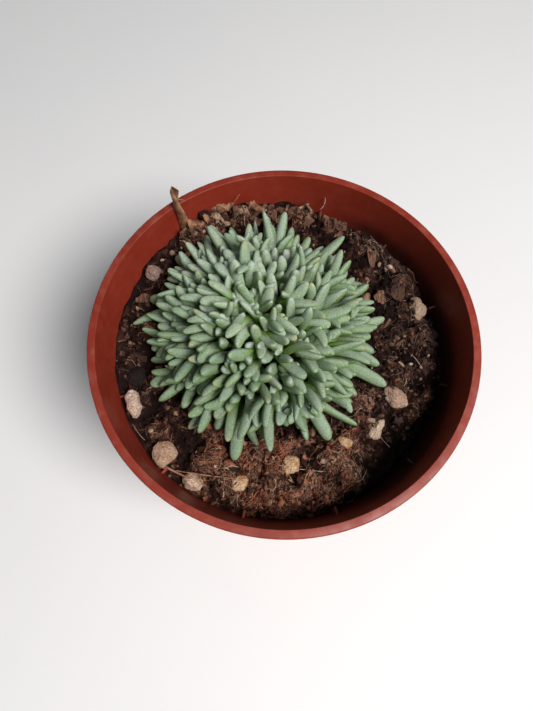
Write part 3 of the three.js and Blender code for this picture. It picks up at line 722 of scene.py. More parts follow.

# %% [markdown]
# Dry compost is a mixture: near-black peat, red-brown coir and tan bits of bark. The colour is mixed from
# patches a few millimetres wide and single crumbs under a millimetre. At the front the coir lies bare, so
# the mixture turns warmer there. Shade is painted into the colour: the creases between clods, the hollow at
# the front right, the edge along the right wall and a strip at the left are painted dark. The crumbs and
# fibres need the same areas, so a node group tells where they are.

# %% Areas of the compost
area_out = [("Coir", "Float"), ("Painted_shade", "Float"), ("East", "Float")]
tree, given, result = new_group("Area", [], area_out)
where = split_place(tree)
front_share = span(tree, where["Y"], -14 * MM, -28 * MM)
off_middle = calc(tree, "ABSOLUTE", calc(tree, "ADD", where["X"], 1 * MM))
middle_share = span(tree, off_middle, 30 * MM, 14 * MM)
feed(tree, result["Coir"], times(tree, front_share, middle_share))
# Painted shade: along the right wall, in a strip at the left and in the hollow at the front right
at_wall = span(tree, length_of(tree, spoke(tree)), 42.5 * MM, 46 * MM)
rim_shade = times(tree, at_wall, span(tree, where["X"], 14 * MM, 28 * MM, 0.0, 0.72))
rim_shade = calc(tree, "MAXIMUM", rim_shade, span(tree, where["X"], -33 * MM, -42 * MM, 0.0, 0.4))
across = calc(tree, "SUBTRACT", where["X"], where["Y"])
feed(tree, result["Painted_shade"], calc(tree, "MAXIMUM", span(tree, across, 54 * MM, 60 * MM), rim_shade))
feed(tree, result["East"], span(tree, where["X"], 14 * MM, 32 * MM))


def area(tree, label):
    return grouped(tree, "Area", {}, out=label)


print("areas:", ", ".join(label for label, _ in area_out))

# %% Compost finish
material, tree, to = new_material("compost", Roughness=0.95, Specular_IOR_Level=0.12)
coir_mask = times(tree, area(tree, "Coir"), 0.5)
coir_mask = calc(tree, "MAXIMUM", coir_mask, attribute(tree, "coir"))
peat = grouped(tree, "Mottle", {
    "Color A": rgb(30, 17, 14), "Color B": rgb(76, 48, 39), "Scale": 420.0, "Edge": 0.1})
tan_coir = grouped(tree, "Mottle", {
    "Color A": rgb(154, 84, 62), "Color B": rgb(192, 146, 120), "Scale": 170.0, "Edge": 0.12})
stretched = {"Vector": place_of(tree), "Rotation": (0, 0, 0.7), "Scale": (1.0, 0.3, 1.0)}
streaks = cloud(tree, 1300.0, 4.0, 0.7, add(tree, "ShaderNodeMapping", stretched))
coir_color = blend(tree, span(tree, streaks, 0.4, 0.62), rgb(60, 31, 24), tan_coir)
mixed = blend(tree, coir_mask, peat, coir_color)
cell = add(tree, "ShaderNodeTexVoronoi", {"Vector": place_of(tree), "Scale": 1000.0}, out="Color")
crumb = add(tree, "ShaderNodeSeparateColor", {0: cell}, out=0)
mixed = blend(tree, times(tree, span(tree, crumb, 0.84, 0.95), 0.8), mixed, rgb(158, 120, 94))
mixed = blend(tree, times(tree, span(tree, crumb, 0.42, 0.1), 0.75), mixed, rgb(20, 12, 10))
# Painted shade: creases between clods and the shaded areas are painted dark
low = span(tree, attribute(tree, "standing"), 0.6, 0.25)
hollow = area(tree, "Painted_shade")
deep = calc(tree, "ADD", times(tree, low, 0.9), times(tree, hollow, 0.7), clamp=True)
painted_shade_color = blend(tree, hollow, rgb(22, 12, 11), rgb(46, 31, 29))
feed(tree, to["Base Color"], blend(tree, deep, mixed, painted_shade_color))
feed(tree, to["Normal"], bump(tree, cloud(tree, 1900.0, 6.0, 0.75), 0.5 * MM, 1.0))
dress(soil, "compost_bed", material, "compost", "soil")

# %% [markdown]
# ## Crumbs, bark bits and fibres
# What makes compost look real is what lies on it. One crumb is an icosphere, one flake is a bevelled box,
# and one fibre is a thin square tube. A particle system could strew them, but it would have to be turned
# into meshes in the end. So each is modelled once and copied by a seeded rule, and the same notebook always
# gives the same compost. Every copy sits on the clods and sinks in a little.

# %% Scatter rules
draw = np.random.RandomState(41)


def scatter(count, inner=17.0, outer=47.0):
    """Places on the compost that aren't hidden under the plant."""
    found = np.empty((0, 2))
    while len(found) < count:
        r, a = outer * np.sqrt(draw.rand(count)), draw.rand(count) * 2 * math.pi
        spot = np.stack([r * np.cos(a), r * np.sin(a)], axis=1)
        bare = np.hypot(*(spot - CENTRE[:2]).T) > inner
        spot = spot[bare & (spot[:, 0] - spot[:, 1] + 10 * draw.rand(len(spot)) < 64)]
        found = np.concatenate([found, spot])
    return found[:count]


def turns(count, flat=0.0):
    """Random rotations. With flat near 1 a copy stays lying down."""
    spin, tip, roll = draw.rand(count) * 6.283, *(draw.randn(2, count) * (1 - flat) * 1.2)
    return np.array([(Matrix.Rotation(s, 3, "Z") @ Matrix.Rotation(t, 3, "X") @ Matrix.Rotation(r, 3, "Y"))
                     for s, t, r in zip(spin, tip, roll)])


def scattered(name, template, spots, sizes, flat, sink, rough):
    """Copies of a template at these spots, each turned, made uneven and sunk in by its share."""
    base = points(template)
    base /= np.abs(base).max()
    count = len(spots)
    shapes = base[None] * (1 + draw.randn(count, len(base), 1) * rough) * sizes[:, None, :] / 2
    shapes = np.einsum("nij,npj->npi", turns(count, flat), shapes)
    ground = surface(*spots.T)
    lift = sizes.min(axis=1) * (0.5 - sink)
    shapes += np.stack([*spots.T, ground + lift], axis=1)[:, None]
    limit = wall_inner_r(shapes[..., 2]) - 0.1
    reach = np.hypot(shapes[..., 0], shapes[..., 1])
    shapes[..., :2] *= np.minimum(1, limit / reach)[..., None]
    # Painted shade: a copy that lies in a crease gets a darker tint
    shade = 0.2 + 0.8 * smoothstep(standing_at(*spots.T), 0.25, 0.6)
    return copies(name, template, shapes, tint=draw.rand(count, 1) * shade[:, None])


# %% Templates
small_crumb = primitive(bpy.ops.mesh.primitive_ico_sphere_add, subdivisions=1, radius=1 * MM)
large_crumb = primitive(bpy.ops.mesh.primitive_ico_sphere_add, subdivisions=2, radius=1 * MM)
flake = box(0, 0, 0, 2, 2, 2)
modify(flake, "BEVEL", width=0.3 * MM, segments=1)
print("faces of the templates:", [len(obj.data.polygons) for obj in (small_crumb, large_crumb, flake)])

# %% [markdown]
# The crumbs have the colours of the compost: dark peat, warm coir at the front, greyer at the right, and a
# few pale grains. Bark is browner, with streaks along its grain. One finish for all crumbs would make them
# alike, so each copy's random tint picks its shade. Shade is painted as well: a copy that lies in a crease
# gets a darker tint, and crumbs in the shaded areas of the compost are painted darker.

# %% Crumb finish
material, tree, to = new_material("crumbs", Roughness=0.95, Specular_IOR_Level=0.15)
tint = attribute(tree, "tint")
east = area(tree, "East")
peat = blend(tree, east, rgb(82, 51, 42), rgb(88, 68, 62))
dark = blend(tree, span(tree, tint, 0.15, 0.75), rgb(24, 13, 11), peat)
warm = blend(tree, span(tree, tint, 0.15, 0.8), rgb(46, 24, 19), rgb(182, 116, 90))
dark = blend(tree, times(tree, area(tree, "Coir"), 0.85), dark, warm)
dark = blend(tree, span(tree, tint, 0.91, 0.96), dark, rgb(164, 130, 106))
# Painted shade: crumbs in the shaded areas of the compost are darkened
dark = blend(tree, times(tree, area(tree, "Painted_shade"), 0.85), dark, rgb(44, 29, 27))
grainy = grouped(tree, "Specks", {"Scale": 1700.0, "Size": 0.45})
feed(tree, to["Base Color"], blend(tree, times(tree, grainy, 0.45), dark, rgb(22, 12, 10)))
feed(tree, to["Normal"], bump(tree, cloud(tree, 2200.0, 5.0, 0.75), 0.4 * MM, 1.0))
crumb_finish = material
print("crumb finish:", crumb_finish.name)

# %% Bark finish
material, tree, to = new_material("bark", Roughness=0.9, Specular_IOR_Level=0.25)
tint = attribute(tree, "tint")
# The tint carries painted shade: a flake in a crease is darker
bark = blend(tree, span(tree, tint, 0.0, 0.85), rgb(48, 28, 22), rgb(142, 104, 84))
bark = blend(tree, span(tree, tint, 0.86, 0.96), bark, rgb(196, 166, 138))
stretch = add(tree, "ShaderNodeMapping", {"Vector": place_of(tree), "Scale": (1.0, 0.22, 1.0)})
streak = span(tree, cloud(tree, 1500.0, 4.0, 0.6, stretch), 0.35, 0.65)
feed(tree, to["Base Color"], blend(tree, times(tree, streak, 0.6), bark, rgb(50, 30, 24)))
feed(tree, to["Normal"], bump(tree, streak, 0.2 * MM, 0.9))
bark_finish = material
print("bark finish:", bark_finish.name)

# %% Scatter crumbs
FINE_CRUMBS, COARSE_CRUMBS = 3000, 200
sizes = (0.35 + 1.2 * draw.rand(FINE_CRUMBS, 1) ** 3) * (0.5 + draw.rand(FINE_CRUMBS, 3))
spots = scatter(FINE_CRUMBS)
fine_crumbs = scattered("fine", small_crumb, spots, sizes, flat=0.0, sink=0.25, rough=0.26)
sizes = (1.2 + 2.0 * draw.rand(COARSE_CRUMBS, 1) ** 2.2) * (0.5 + 0.9 * draw.rand(COARSE_CRUMBS, 3))
spots = scatter(COARSE_CRUMBS)
coarse_crumbs = scattered("coarse", large_crumb, spots, sizes, flat=0.0, sink=0.4, rough=0.22)
dress(join([fine_crumbs, coarse_crumbs]), "compost_crumbs", crumb_finish, "compost", angle=25)

# %% [markdown]
# Most flakes lie anywhere. At the back wall the picture shows a bank of larger and paler ones, so a second
# set is laid along the wall there, on top of the compost, and its tints are lifted to the pale half.

# %% Scatter flakes of bark
FLAKES, BACK_FLAKES = 300, 110
count = FLAKES
long = 0.9 + 2.8 * draw.rand(count) ** 2.8
sizes = np.stack([long, long * (0.15 + 0.35 * draw.rand(count)), 0.25 + 0.4 * draw.rand(count)], axis=1)
bits = scattered("bits", flake, scatter(count), sizes, flat=0.5, sink=0.05, rough=0.25)
count = BACK_FLAKES
bearing = np.radians(62 + 72 * draw.rand(count))
far = 46.3 - 5.5 * draw.rand(count) ** 1.5
spots = np.stack([far * np.cos(bearing), far * np.sin(bearing)], axis=1)
long = 1.4 + 2.4 * draw.rand(count) ** 1.6
sizes = np.stack([long, long * (0.4 + 0.4 * draw.rand(count)), 0.35 + 0.6 * draw.rand(count)], axis=1)
back_bits = scattered("back_bits", flake, spots, sizes, flat=0.1, sink=-0.35, rough=0.25)
for item in back_bits.data.attributes["tint"].data:
    item.value = 0.5 + 0.5 * item.value
dress(join([bits, back_bits]), "bark_bits", bark_finish, "bark", angle=35)
discard(small_crumb, large_crumb, flake)

# %% [markdown]
# A coir fibre is as thin as a bristle. It could be a curve with a bevel, but thousands of curves are slow,
# so one tube of four sides is cut into short lengths and copied along many lines. A line wanders over the
# compost and lifts off it here and there. Fibres are densest on the clods that are rich in coir.

# %% One fibre
STEPS = 9
thread = primitive(bpy.ops.mesh.primitive_cylinder_add, vertices=4, radius=1 * MM, depth=1 * MM)
with editing(thread):
    for k in range(1, STEPS - 1):
        bpy.ops.mesh.select_all(action="SELECT")
        cut = (0, 0, (k / (STEPS - 1) - 0.5) * MM)
        bpy.ops.mesh.bisect(plane_co=cut, plane_no=(0, 0, 1))
print("faces of a fibre:", len(thread.data.polygons))


# %% Lay fibres along lines
def unit(v):
    v = np.asarray(v, float)
    return v / np.linalg.norm(v, axis=-1, keepdims=True)


def tubes(name, lines, radii, **layers):
    """Copies of the thread along lines, an array of (count, STEPS, 3), with a radius for each."""
    base = points(thread)
    step = np.clip(np.rint((base[:, 2] + 0.5) * (STEPS - 1)).astype(int), 0, STEPS - 1)
    ahead = unit(np.gradient(lines, axis=1))
    side = unit(np.cross(ahead, [0.12, 0.07, 1.0]))
    up = np.cross(side, ahead)
    thin = np.sin(np.linspace(0.35, 2.8, STEPS)) ** 0.5
    size = (np.asarray(radii)[:, None] * thin[None])[:, step, None]
    shapes = lines[:, step] + side[:, step] * base[None, :, :1] * size
    shapes = shapes - up[:, step] * base[None, :, 1:2] * size
    return copies(name, thread, shapes, **layers)


def lying_lines(spots, lengths, lift, heading=0.0, stray=9.0):
    """Curves that lie on the compost, and a shade for each. stray is how far they turn off the heading."""
    count = len(spots)
    spots = spots * np.minimum(1, 45.5 / np.hypot(*spots.T))[:, None]
    heading = heading + draw.randn(count) * stray
    turn = draw.randn(count) * 0.9
    share = np.linspace(0, 1, STEPS)
    angle = heading[:, None] + turn[:, None] * share + 0.35 * np.sin(share * 7 + heading[:, None] * 5)
    step = lengths[:, None] / (STEPS - 1)
    x = spots[:, :1] + np.cumsum(np.cos(angle) * step, axis=1)
    y = spots[:, 1:] + np.cumsum(np.sin(angle) * step, axis=1)
    reach = np.hypot(x, y)
    x, y = x * np.minimum(1, 46.5 / reach), y * np.minimum(1, 46.5 / reach)
    hump = np.abs(np.sin(share * 3.14 * (1 + draw.rand(count, 1) * 2))) * lift[:, None]
    # Painted shade: a fibre that lies in a crease gets a darker tint
    shade = 0.2 + 0.8 * smoothstep(standing_at(x[:, STEPS // 2], y[:, STEPS // 2]), 0.25, 0.6)
    return np.stack([x, y, surface(x, y) + 0.15 + hump], axis=2), shade[:, None]


# %% Coir on the clods, and loose fibres everywhere
COIR_FIBRES, LOOSE_FIBRES = 2300, 1000
count = COIR_FIBRES
clod_places = np.array(CLODS)
weight = clod_places[:, 2] ** 2 * clod_places[:, 4]
host = draw.choice(len(CLODS), count, p=weight / weight.sum())
spots = clod_places[host, :2] + draw.randn(count, 2) * clod_places[host, 2:3] * 0.5
long, lift = 1.6 + 4.2 * draw.rand(count) ** 1.5, 0.15 + 1.0 * draw.rand(count) ** 2
lines, shade = lying_lines(spots, long, lift, host * 2.4, 0.7)
coir = tubes("coir", lines, 0.035 + 0.11 * draw.rand(count) ** 2.5, tint=draw.rand(count, 1) * shade)
count = LOOSE_FIBRES
lines, shade = lying_lines(scatter(count, 20), 1.2 + 4 * draw.rand(count) ** 2, 0.2 + draw.rand(count) ** 2)
loose = tubes("loose", lines, 0.03 + 0.05 * draw.rand(count) ** 2, tint=draw.rand(count, 1) ** 1.5 * shade)
print("fibres:", COIR_FIBRES, "on clods and", LOOSE_FIBRES, "loose")

# %% [markdown]
# Coir is the fibre of a coconut's husk. It is fox-red while it is fresh and greyer once it has weathered, as
# at the right. With one colour the fibres would look combed. So each fibre's tint picks its shade, a wide
# cloud turns patches of the bare coir rusty, and darker stretches break up its length.

# %% Fibre finish
material, tree, to = new_material("coir", Roughness=0.85, Specular_IOR_Level=0.2)
tint = attribute(tree, "tint")
light_coir = blend(tree, area(tree, "East"), rgb(184, 136, 110), rgb(134, 110, 100))
rusty = times(tree, span(tree, cloud(tree, 110.0, 2.0), 0.48, 0.6), area(tree, "Coir"))
light_coir = blend(tree, times(tree, rusty, 0.8), light_coir, rgb(198, 112, 74))
# The tint carries painted shade: a fibre in a crease is darker
coir_color = blend(tree, span(tree, tint, 0.1, 0.85), rgb(52, 27, 21), light_coir)
coir_color = blend(tree, span(tree, tint, 0.86, 0.96), coir_color, rgb(200, 178, 156))
broken = span(tree, cloud(tree, 900.0), 0.45, 0.75)
feed(tree, to["Base Color"], blend(tree, broken, coir_color, rgb(60, 32, 24)))
feed(tree, to["Normal"], bump(tree, cloud(tree, 3000.0), 0.05 * MM, 0.5))
coir_finish = material
dress(coir, "coir_fibres", coir_finish, "bark")
dress(loose, "loose_fibres", coir_finish, "bark")

# %% [markdown]
# The plant's own root hairs show where the compost has come away from the wall. Short pale ones stand up
# along the wall at the back right, and more lie on the compost at the right. They are the same tube again,
# only thinner and paler than the coir.

# %% Root hairs
STANDING_HAIRS, LYING_HAIRS = 60, 110
count = STANDING_HAIRS
angle = np.radians(draw.rand(count) * 62 + 12)
foot_r = 44.6 - 2.4 * draw.rand(count)
share = np.linspace(0, 1, STEPS)
swing = draw.randn(count, 1) * 0.03
r = foot_r[:, None] + share * (0.6 * draw.randn(count, 1))
bearing = angle[:, None] + swing * share + 0.012 * np.sin(share * 6 + angle[:, None] * 40)
ground = surface(foot_r * np.cos(angle), foot_r * np.sin(angle))
z = ground[:, None] - 0.2 + share * (0.5 + 1.4 * draw.rand(count, 1))
r = np.minimum(r, wall_inner_r(z) - 0.25)
lines = np.stack([r * np.cos(bearing), r * np.sin(bearing), z], axis=2)
standing_hairs = tubes("hairs", lines, 0.035 + 0.04 * draw.rand(count), tint=0.6 + 0.35 * draw.rand(count, 1))
count = LYING_HAIRS
spots = np.stack([35 + draw.randn(count) * 4, 8 + draw.randn(count) * 12], axis=1)
lines, _ = lying_lines(spots, 1.5 + 3 * draw.rand(count), 0.2 + 0.7 * draw.rand(count))
lying_hairs = tubes("lying", lines, 0.03 + 0.03 * draw.rand(count), tint=0.55 + 0.45 * draw.rand(count, 1))
dress(join([standing_hairs, lying_hairs]), "root_hairs", coir_finish, "bark")

# %% [markdown]
# ## Pumice, lava and chips
# Pumice is frozen froth: a rounded lump with many small pits. Sculpting would give one good stone, but a
# formula gives ten. Each starts as an icosphere, is pushed out of round by the same waves as its solid, and
# gets its pits from a cell pattern. Every stone keeps its place, so it lies where the solid lies. One of
# them is dark lava and not pumice. No two have the same colour, so one function makes a finish for each
# from a table: amber stains on some, darker pores on all, and compost that sticks to the underside.

# %% Stone finish
PORE_SCALE = 1150.0
# Each stone's red, green and blue, and its share of amber stains
STONE_COLORS = {
    "pumice_round_front_left": (184, 155, 134, 0.15), "pumice_long_left": (208, 184, 170, 0.0),
    "pumice_wall_front_left": (208, 180, 160, 0.1), "pumice_right": (184, 156, 138, 0.15),
    "pumice_right_front": (202, 178, 158, 0.7), "pumice_ochre_front": (204, 170, 138, 0.6),
    "pumice_tan_front": (208, 174, 142, 0.45), "pumice_grey_left": (160, 136, 128, 0.0),
    "pumice_wall_right": (182, 158, 138, 0.0), "lava_left": (38, 28, 29, 0.0)}


def stone_finish(name, color):
    material, tree, to = new_material(name, Roughness=0.95, Specular_IOR_Level=0.25)
    r, g, b, amber = color
    pale, warm = rgb(r * 1.18, g * 1.18, b * 1.18), rgb(r * 1.06, g * 1.02, b * 0.97)
    body = grouped(tree, "Mottle", {"Color A": pale, "Color B": warm, "Scale": 420.0, "Edge": 0.14})
    stain = times(tree, span(tree, cloud(tree, 420.0, 4.0, 0.65), 0.48, 0.62), amber)
    body = blend(tree, stain, body, rgb(192, 126, 62))
    grains = span(tree, cloud(tree, 2300.0, 3.0, 0.7), 0.42, 0.62)
    body = blend(tree, times(tree, grains, 0.4), body, rgb(r * 0.7, g * 0.64, b * 0.58))
    pores = grouped(tree, "Specks", {"Scale": PORE_SCALE, "Size": 0.34})
    body = blend(tree, times(tree, pores, 0.55), body, rgb(r * 0.45, g * 0.38, b * 0.33))
    underneath = span(tree, facing_up(tree), 0.15, -0.5)
    soiled = times(tree, underneath, span(tree, cloud(tree, 700.0), 0.3, 0.6))
    feed(tree, to["Base Color"], blend(tree, times(tree, soiled, 0.7), body, rgb(60, 42, 34)))
    hollows = calc(tree, "ADD", grains, times(tree, pores, 1.4))
    feed(tree, to["Normal"], bump(tree, times(tree, hollows, -1.0), 0.2 * MM, 0.9))
    return material


# %% Stones
# How much narrower a long stone is at its waist
WAISTS = {
    "pumice_long_left": 0.2, "pumice_right": 0.12, "pumice_right_front": 0.16, "pumice_wall_right": 0.25}


def stone_relief(at):
    swell = noise.noise(at * 0.5) * 0.3 + noise.noise(at * 1.5) * 0.2
    large_pit = max(0.0, 0.34 - noise.voronoi(at * 1.3)[0][0])
    small_pit = max(0.0, 0.3 - noise.voronoi(at * 3.1)[0][0])
    return swell - (large_pit * 0.9 + small_pit * 0.3)


def resting_at(spot, height, sunk):
    """The middle of a lump of this height, with a share of it sunk in the compost."""
    x, y = spot
    return [x, y, float(soil_height(x, y)) + height * (0.5 - sunk)]


def stone(name, spot, size, turn, sunk, wobble):
    obj = primitive(bpy.ops.mesh.primitive_ico_sphere_add, subdivisions=5, radius=0.5 * MM)
    p = points(obj)
    wave = np.sin(7 * p[:, 0] + wobble) * np.sin(6 * p[:, 1] + 2 * wobble) + np.sin(8 * p[:, 2] - wobble)
    shape = p * (1 + 0.1 * wave)[:, None] * size
    shape[:, 0] *= 1 - WAISTS.get(name, 0) * np.exp(-((p[:, 1] - 0.06) / 0.16) ** 2)
    rough = np.array([stone_relief(Vector(q) + Vector((wobble * 9, 0, 0))) for q in shape])
    shape += unit(p) * rough[:, None]
    turned = shape @ np.array(Matrix.Rotation(math.radians(turn), 3, "Z")).T
    set_points(obj, turned + resting_at(spot, size[2], sunk))
    material = stone_finish(name + "_finish", STONE_COLORS[name])
    dress(obj, name + "_stone", material, "lava" if name.startswith("lava") else "pumice", name)


for name, spot, size, turn, sunk, wobble in STONES:
    stone(name, spot, size, turn, sunk, wobble)

# %% [markdown]
# Between the stones lie small pale pebbles. A pebble is broken pumice, so it has flats: they are cut off a
# ball by moving back whatever stands out past them. Five such pebbles are copied at many sizes and turns.
# Two larger ones are single pieces: a dark slate pebble at the back and a lump of ochre pumice at the front.

# %% Grit between the stones
# The place and the size of each pebble that stands out
GRIT = (
    (30.1, 27.9, 2.0), (10.8, -32.2, 2.6), (-20.3, 44.4, 2.6), (25.4, 17.0, 3.2), (8.4, -23.3, 3.0),
    (13.2, -25.5, 2.4), (40.6, 10.6, 2.8), (-33.5, 30.6, 1.6), (-29.6, 33.0, 1.3), (-36.0, 27.6, 1.5),
    (-15.4, 45.4, 1.6), (-42.6, 12.0, 1.4), (-30.2, -18.6, 2.2), (-36.4, -24.0, 1.6), (19.8, -35.5, 1.6),
    (36.4, -4.8, 1.8), (33.0, 26.4, 1.7), (16.8, 42.2, 1.6), (-5.0, 45.8, 1.4), (40.2, -8.0, 1.3),
    (-18.4, -33.6, 1.5))
SMALL_GRIT, PEBBLE_SHAPES, FLATS = 40, 5, 12


def pebble():
    """A ball with flats cut off it by moving what stands out back to each flat."""
    obj = primitive(bpy.ops.mesh.primitive_ico_sphere_add, subdivisions=3, radius=1 * MM)
    shape = points(obj)
    for normal in unit(draw.randn(FLATS, 3)):
        shape -= np.maximum(0, shape @ normal - 0.68)[:, None] * normal
    set_points(obj, shape)
    return obj


spots = np.array(GRIT)[:, :2]
spots = np.concatenate([spots, scatter(SMALL_GRIT)])
across = np.concatenate([np.array(GRIT)[:, 2], 0.5 + 0.6 * draw.rand(SMALL_GRIT)])
sizes = across[:, None] * (0.65 + 0.6 * draw.rand(len(across), 3))
pebbles = [pebble() for _ in range(PEBBLE_SHAPES)]
grit = []
for k, shape in enumerate(pebbles):
    own_spots, own_sizes = spots[k::PEBBLE_SHAPES], sizes[k::PEBBLE_SHAPES]
    grit.append(scattered("grit", shape, own_spots, own_sizes, flat=0.0, sink=0.3, rough=0.04))
grit = join(grit)
print("pebbles:", len(spots))

# %% [markdown]
# Each of the two larger ones takes the finish of a stone that it looks like. All small ones share a finish of
# their own: each copy's tint picks a shade between brown and pale tan, and the specks are its pores.

# %% The ochre lump and the slate pebble
spot, size = np.array([[16.8, -27.0]]), np.array([[3.6, 4.4, 2.8]])
lump = scattered("lump", pebbles[1], spot, size, flat=0.9, sink=0.25, rough=0.05)
spot, size = np.array([[-23.6, 41.4]]), np.array([[5.0, 3.8, 2.6]])
slate = scattered("slate", pebbles[0], spot, size, flat=0.95, sink=0.0, rough=0.05)
discard(*pebbles)
dress(slate, "slate_pebble", bpy.data.materials["lava_left_finish"], "lava", angle=40)
dress(lump, "ochre_lump", bpy.data.materials["pumice_ochre_front_finish"], "pumice", angle=40)

# %% Grit finish
material, tree, to = new_material("grit", Roughness=0.95)
# The tint carries painted shade: a pebble in a crease is browner
pale = blend(tree, attribute(tree, "tint"), rgb(150, 114, 86), rgb(190, 168, 148))
pores = grouped(tree, "Specks", {"Scale": 1800.0, "Size": 0.36})
feed(tree, to["Base Color"], blend(tree, times(tree, pores, 0.5), pale, rgb(104, 74, 54)))
feed(tree, to["Normal"], bump(tree, cloud(tree, 2200.0, 4.0), 0.15 * MM, 0.7))
dress(grit, "pumice_grit", material, "pumice", angle=40)

# %% [markdown]
# Three chips are flakes of bark with an uneven outline, and a fourth, rust-brown one lies loose beside the
# leaves. A plain slab would look sawn. So a six-sided slab is bevelled and cut finer with subdivisions, and
# noise that is stretched along the grain splits its faces into fibres.

# %% Bark chips
# Each chip's place, size, turn about the upright, tilt, sunk share and the phase of its outline
CHIPS = (
    ("bark_chip_back", (27.5, 29.5), (2.8, 6.4, 1.5), 12, 24, 0.3, 1.2),
    ("bark_chip_right", (35.0, 17.5), (4.4, 5.0, 1.6), -35, 14, 0.3, 2.9),
    ("bark_chip_left", (-41.0, 15.2), (5.2, 3.0, 1.5), 8, 10, 0.3, 4.0))
LOOSE_CHIP = ("bark_chip_by_leaves", (29.2, 16.2), (3.6, 4.4, 1.4), 20, 30, 0.2, 5.2)
CHIP_TINTS = {"bark_chip_right": 0.35, "bark_chip_by_leaves": 0.84}
for name, spot, size, turn, tip, sunk, wobble in CHIPS + (LOOSE_CHIP,):
    chip = primitive(bpy.ops.mesh.primitive_cylinder_add, vertices=6, radius=0.5 * MM, depth=1 * MM,
                     end_fill_type="TRIFAN")
    modify(chip, "BEVEL", width=0.06 * MM, segments=1)
    with editing(chip):
        bpy.ops.mesh.subdivide(number_cuts=7)
    p = points(chip)
    uneven = 1 + 0.14 * np.sin(3 * np.arctan2(p[:, 1], p[:, 0]) + wobble)
    shape = p * np.stack([uneven, uneven, np.ones(len(p))], axis=1) * size
    fibres = [noise.noise(Vector((q[0] * 2.6, q[1] * 0.5, wobble))) * 0.4 for q in shape]
    lumps = [noise.noise(Vector(q) * 1.1) * 0.35 for q in shape]
    shape[:, 2] += (np.array(fibres) + np.array(lumps)) * np.sign(shape[:, 2])
    turn_and_tip = Matrix.Rotation(math.radians(tip), 3, "X") @ Matrix.Rotation(math.radians(turn), 3, "Z")
    set_points(chip, shape @ np.array(turn_and_tip).T + resting_at(spot, size[2], sunk))
    set_layer(chip.data, "tint", np.full(len(p), CHIP_TINTS.get(name, 0.7)))
    replaced = [] if name == LOOSE_CHIP[0] else [name]
    dress(chip, name + "_flake", bark_finish, "bark", *replaced, angle=40)

# %% [markdown]
# ## The plant: where its shoots and leaves are
# The cushion is a flattened dome of short shoots. Their places follow the golden angle, as a sunflower's
# florets do. Each shoot bears leaves in pairs, and each pair is turned a quarter from the one inside it.
# Placing some 300 leaves by hand would take days, and they would pass through each other. So they jostle:
# where two are too close, both swing apart a little, over and over. This is the rule of the solid model,
# step for step, so the fine leaves lie in the solid ones.

# %% Values of the plant and its seeded draw
SHOOTS, BASE_R, BASE_RISE = 36, 18.5, 7.0
LOWEST_TILT, CROWDED, GOLDEN_ANGLE = math.radians(82), 0.31, 137.508
HUB_R, HUB_LENGTH, STEM_R, STEM_TIP_R = 1.7, 4.0, 1.3, 0.9
LEAF_R, LEAF_WIDEST = 1.55, 0.6
RELAX_ROUNDS, SETTLE_STEP, LEAST_BASE, LEAST_TIP = 260, 1e-6, 0.5, 0.62
# Each pair's length, lean from the shoot's axis in degrees, height on the shoot and share of LEAF_R
LEAF_PAIRS = ((9.5, 16, 2.8, 0.86), (12.5, 32, 2.0, 0.98), (15.0, 48, 1.2, 1.04), (15.5, 64, 0.8, 1.0))
# Single leaves that stick out of the cushion: the heading, reach and height of each tip from CENTRE
STRAY_LEAVES = ((257, 36.5, -1.5), (308, 38.0, -0.5), (333, 37.5, 0.5), (193, 37.0, 0.5),
                (177, 36.0, 5.0), (52, 37.0, 4.5), (12, 37.5, 5.5), (120, 36.0, 7.0))
plant_seed = 20417


def jitter(size):
    """A number from -size to size, from the same seeded rule as in the solid model."""
    global plant_seed
    plant_seed = (plant_seed * 1664525 + 1013904223) % 4294967296
    return (plant_seed / 4294967296 * 2 - 1) * size


print("pairs of leaves on a shoot:", len(LEAF_PAIRS))


# %% Shoots
def shoot_directions():
    lowest = 1 - math.cos(LOWEST_TILT)
    made = []
    for k in range(SHOOTS):
        tilt = math.acos(1 - lowest * ((k + 0.5) / SHOOTS))
        heading = math.radians(k * GOLDEN_ANGLE)
        x = math.sin(tilt) * math.cos(heading) + jitter(0.07)
        y = math.sin(tilt) * math.sin(heading) + jitter(0.07)
        made.append((x, y, math.cos(tilt)))
    made = unit(made)
    for _ in range(20):
        apart = made[:, None] - made[None]
        gap = np.linalg.norm(apart, axis=2) + np.eye(SHOOTS) * 9
        short = np.maximum(0, CROWDED - gap) / 2
        made = made + (apart / gap[..., None] * short[..., None]).sum(axis=1)
        made[:, 2] = np.maximum(made[:, 2], math.cos(LOWEST_TILT))
        made = unit(made)
    return made


out = shoot_directions()
foot = out * [BASE_R, BASE_R, BASE_RISE] + CENTRE
axis, spin = np.empty((SHOOTS, 3)), np.empty(SHOOTS)
for k in range(SHOOTS):
    axis[k] = unit(out[k] + [jitter(0.16), jitter(0.16), jitter(0.16)])
    spin[k] = math.radians(jitter(90))
side = unit(np.cross([0, 0, 1], axis))
front = np.cross(axis, side)
stem_start = CENTRE + (foot - CENTRE) * 0.3
stem_start[:, 2] = CENTRE[2] - 1
print(f"feet of the shoots: {foot[:, 2].min():.1f} to {foot[:, 2].max():.1f} mm high")

# %% [markdown]
# A leaf is one row of numbers: where it is rooted, which way it points, how it bends, how long and thick it
# is. Arrays hold all the leaves at once, so that each round of the jostle is quick.


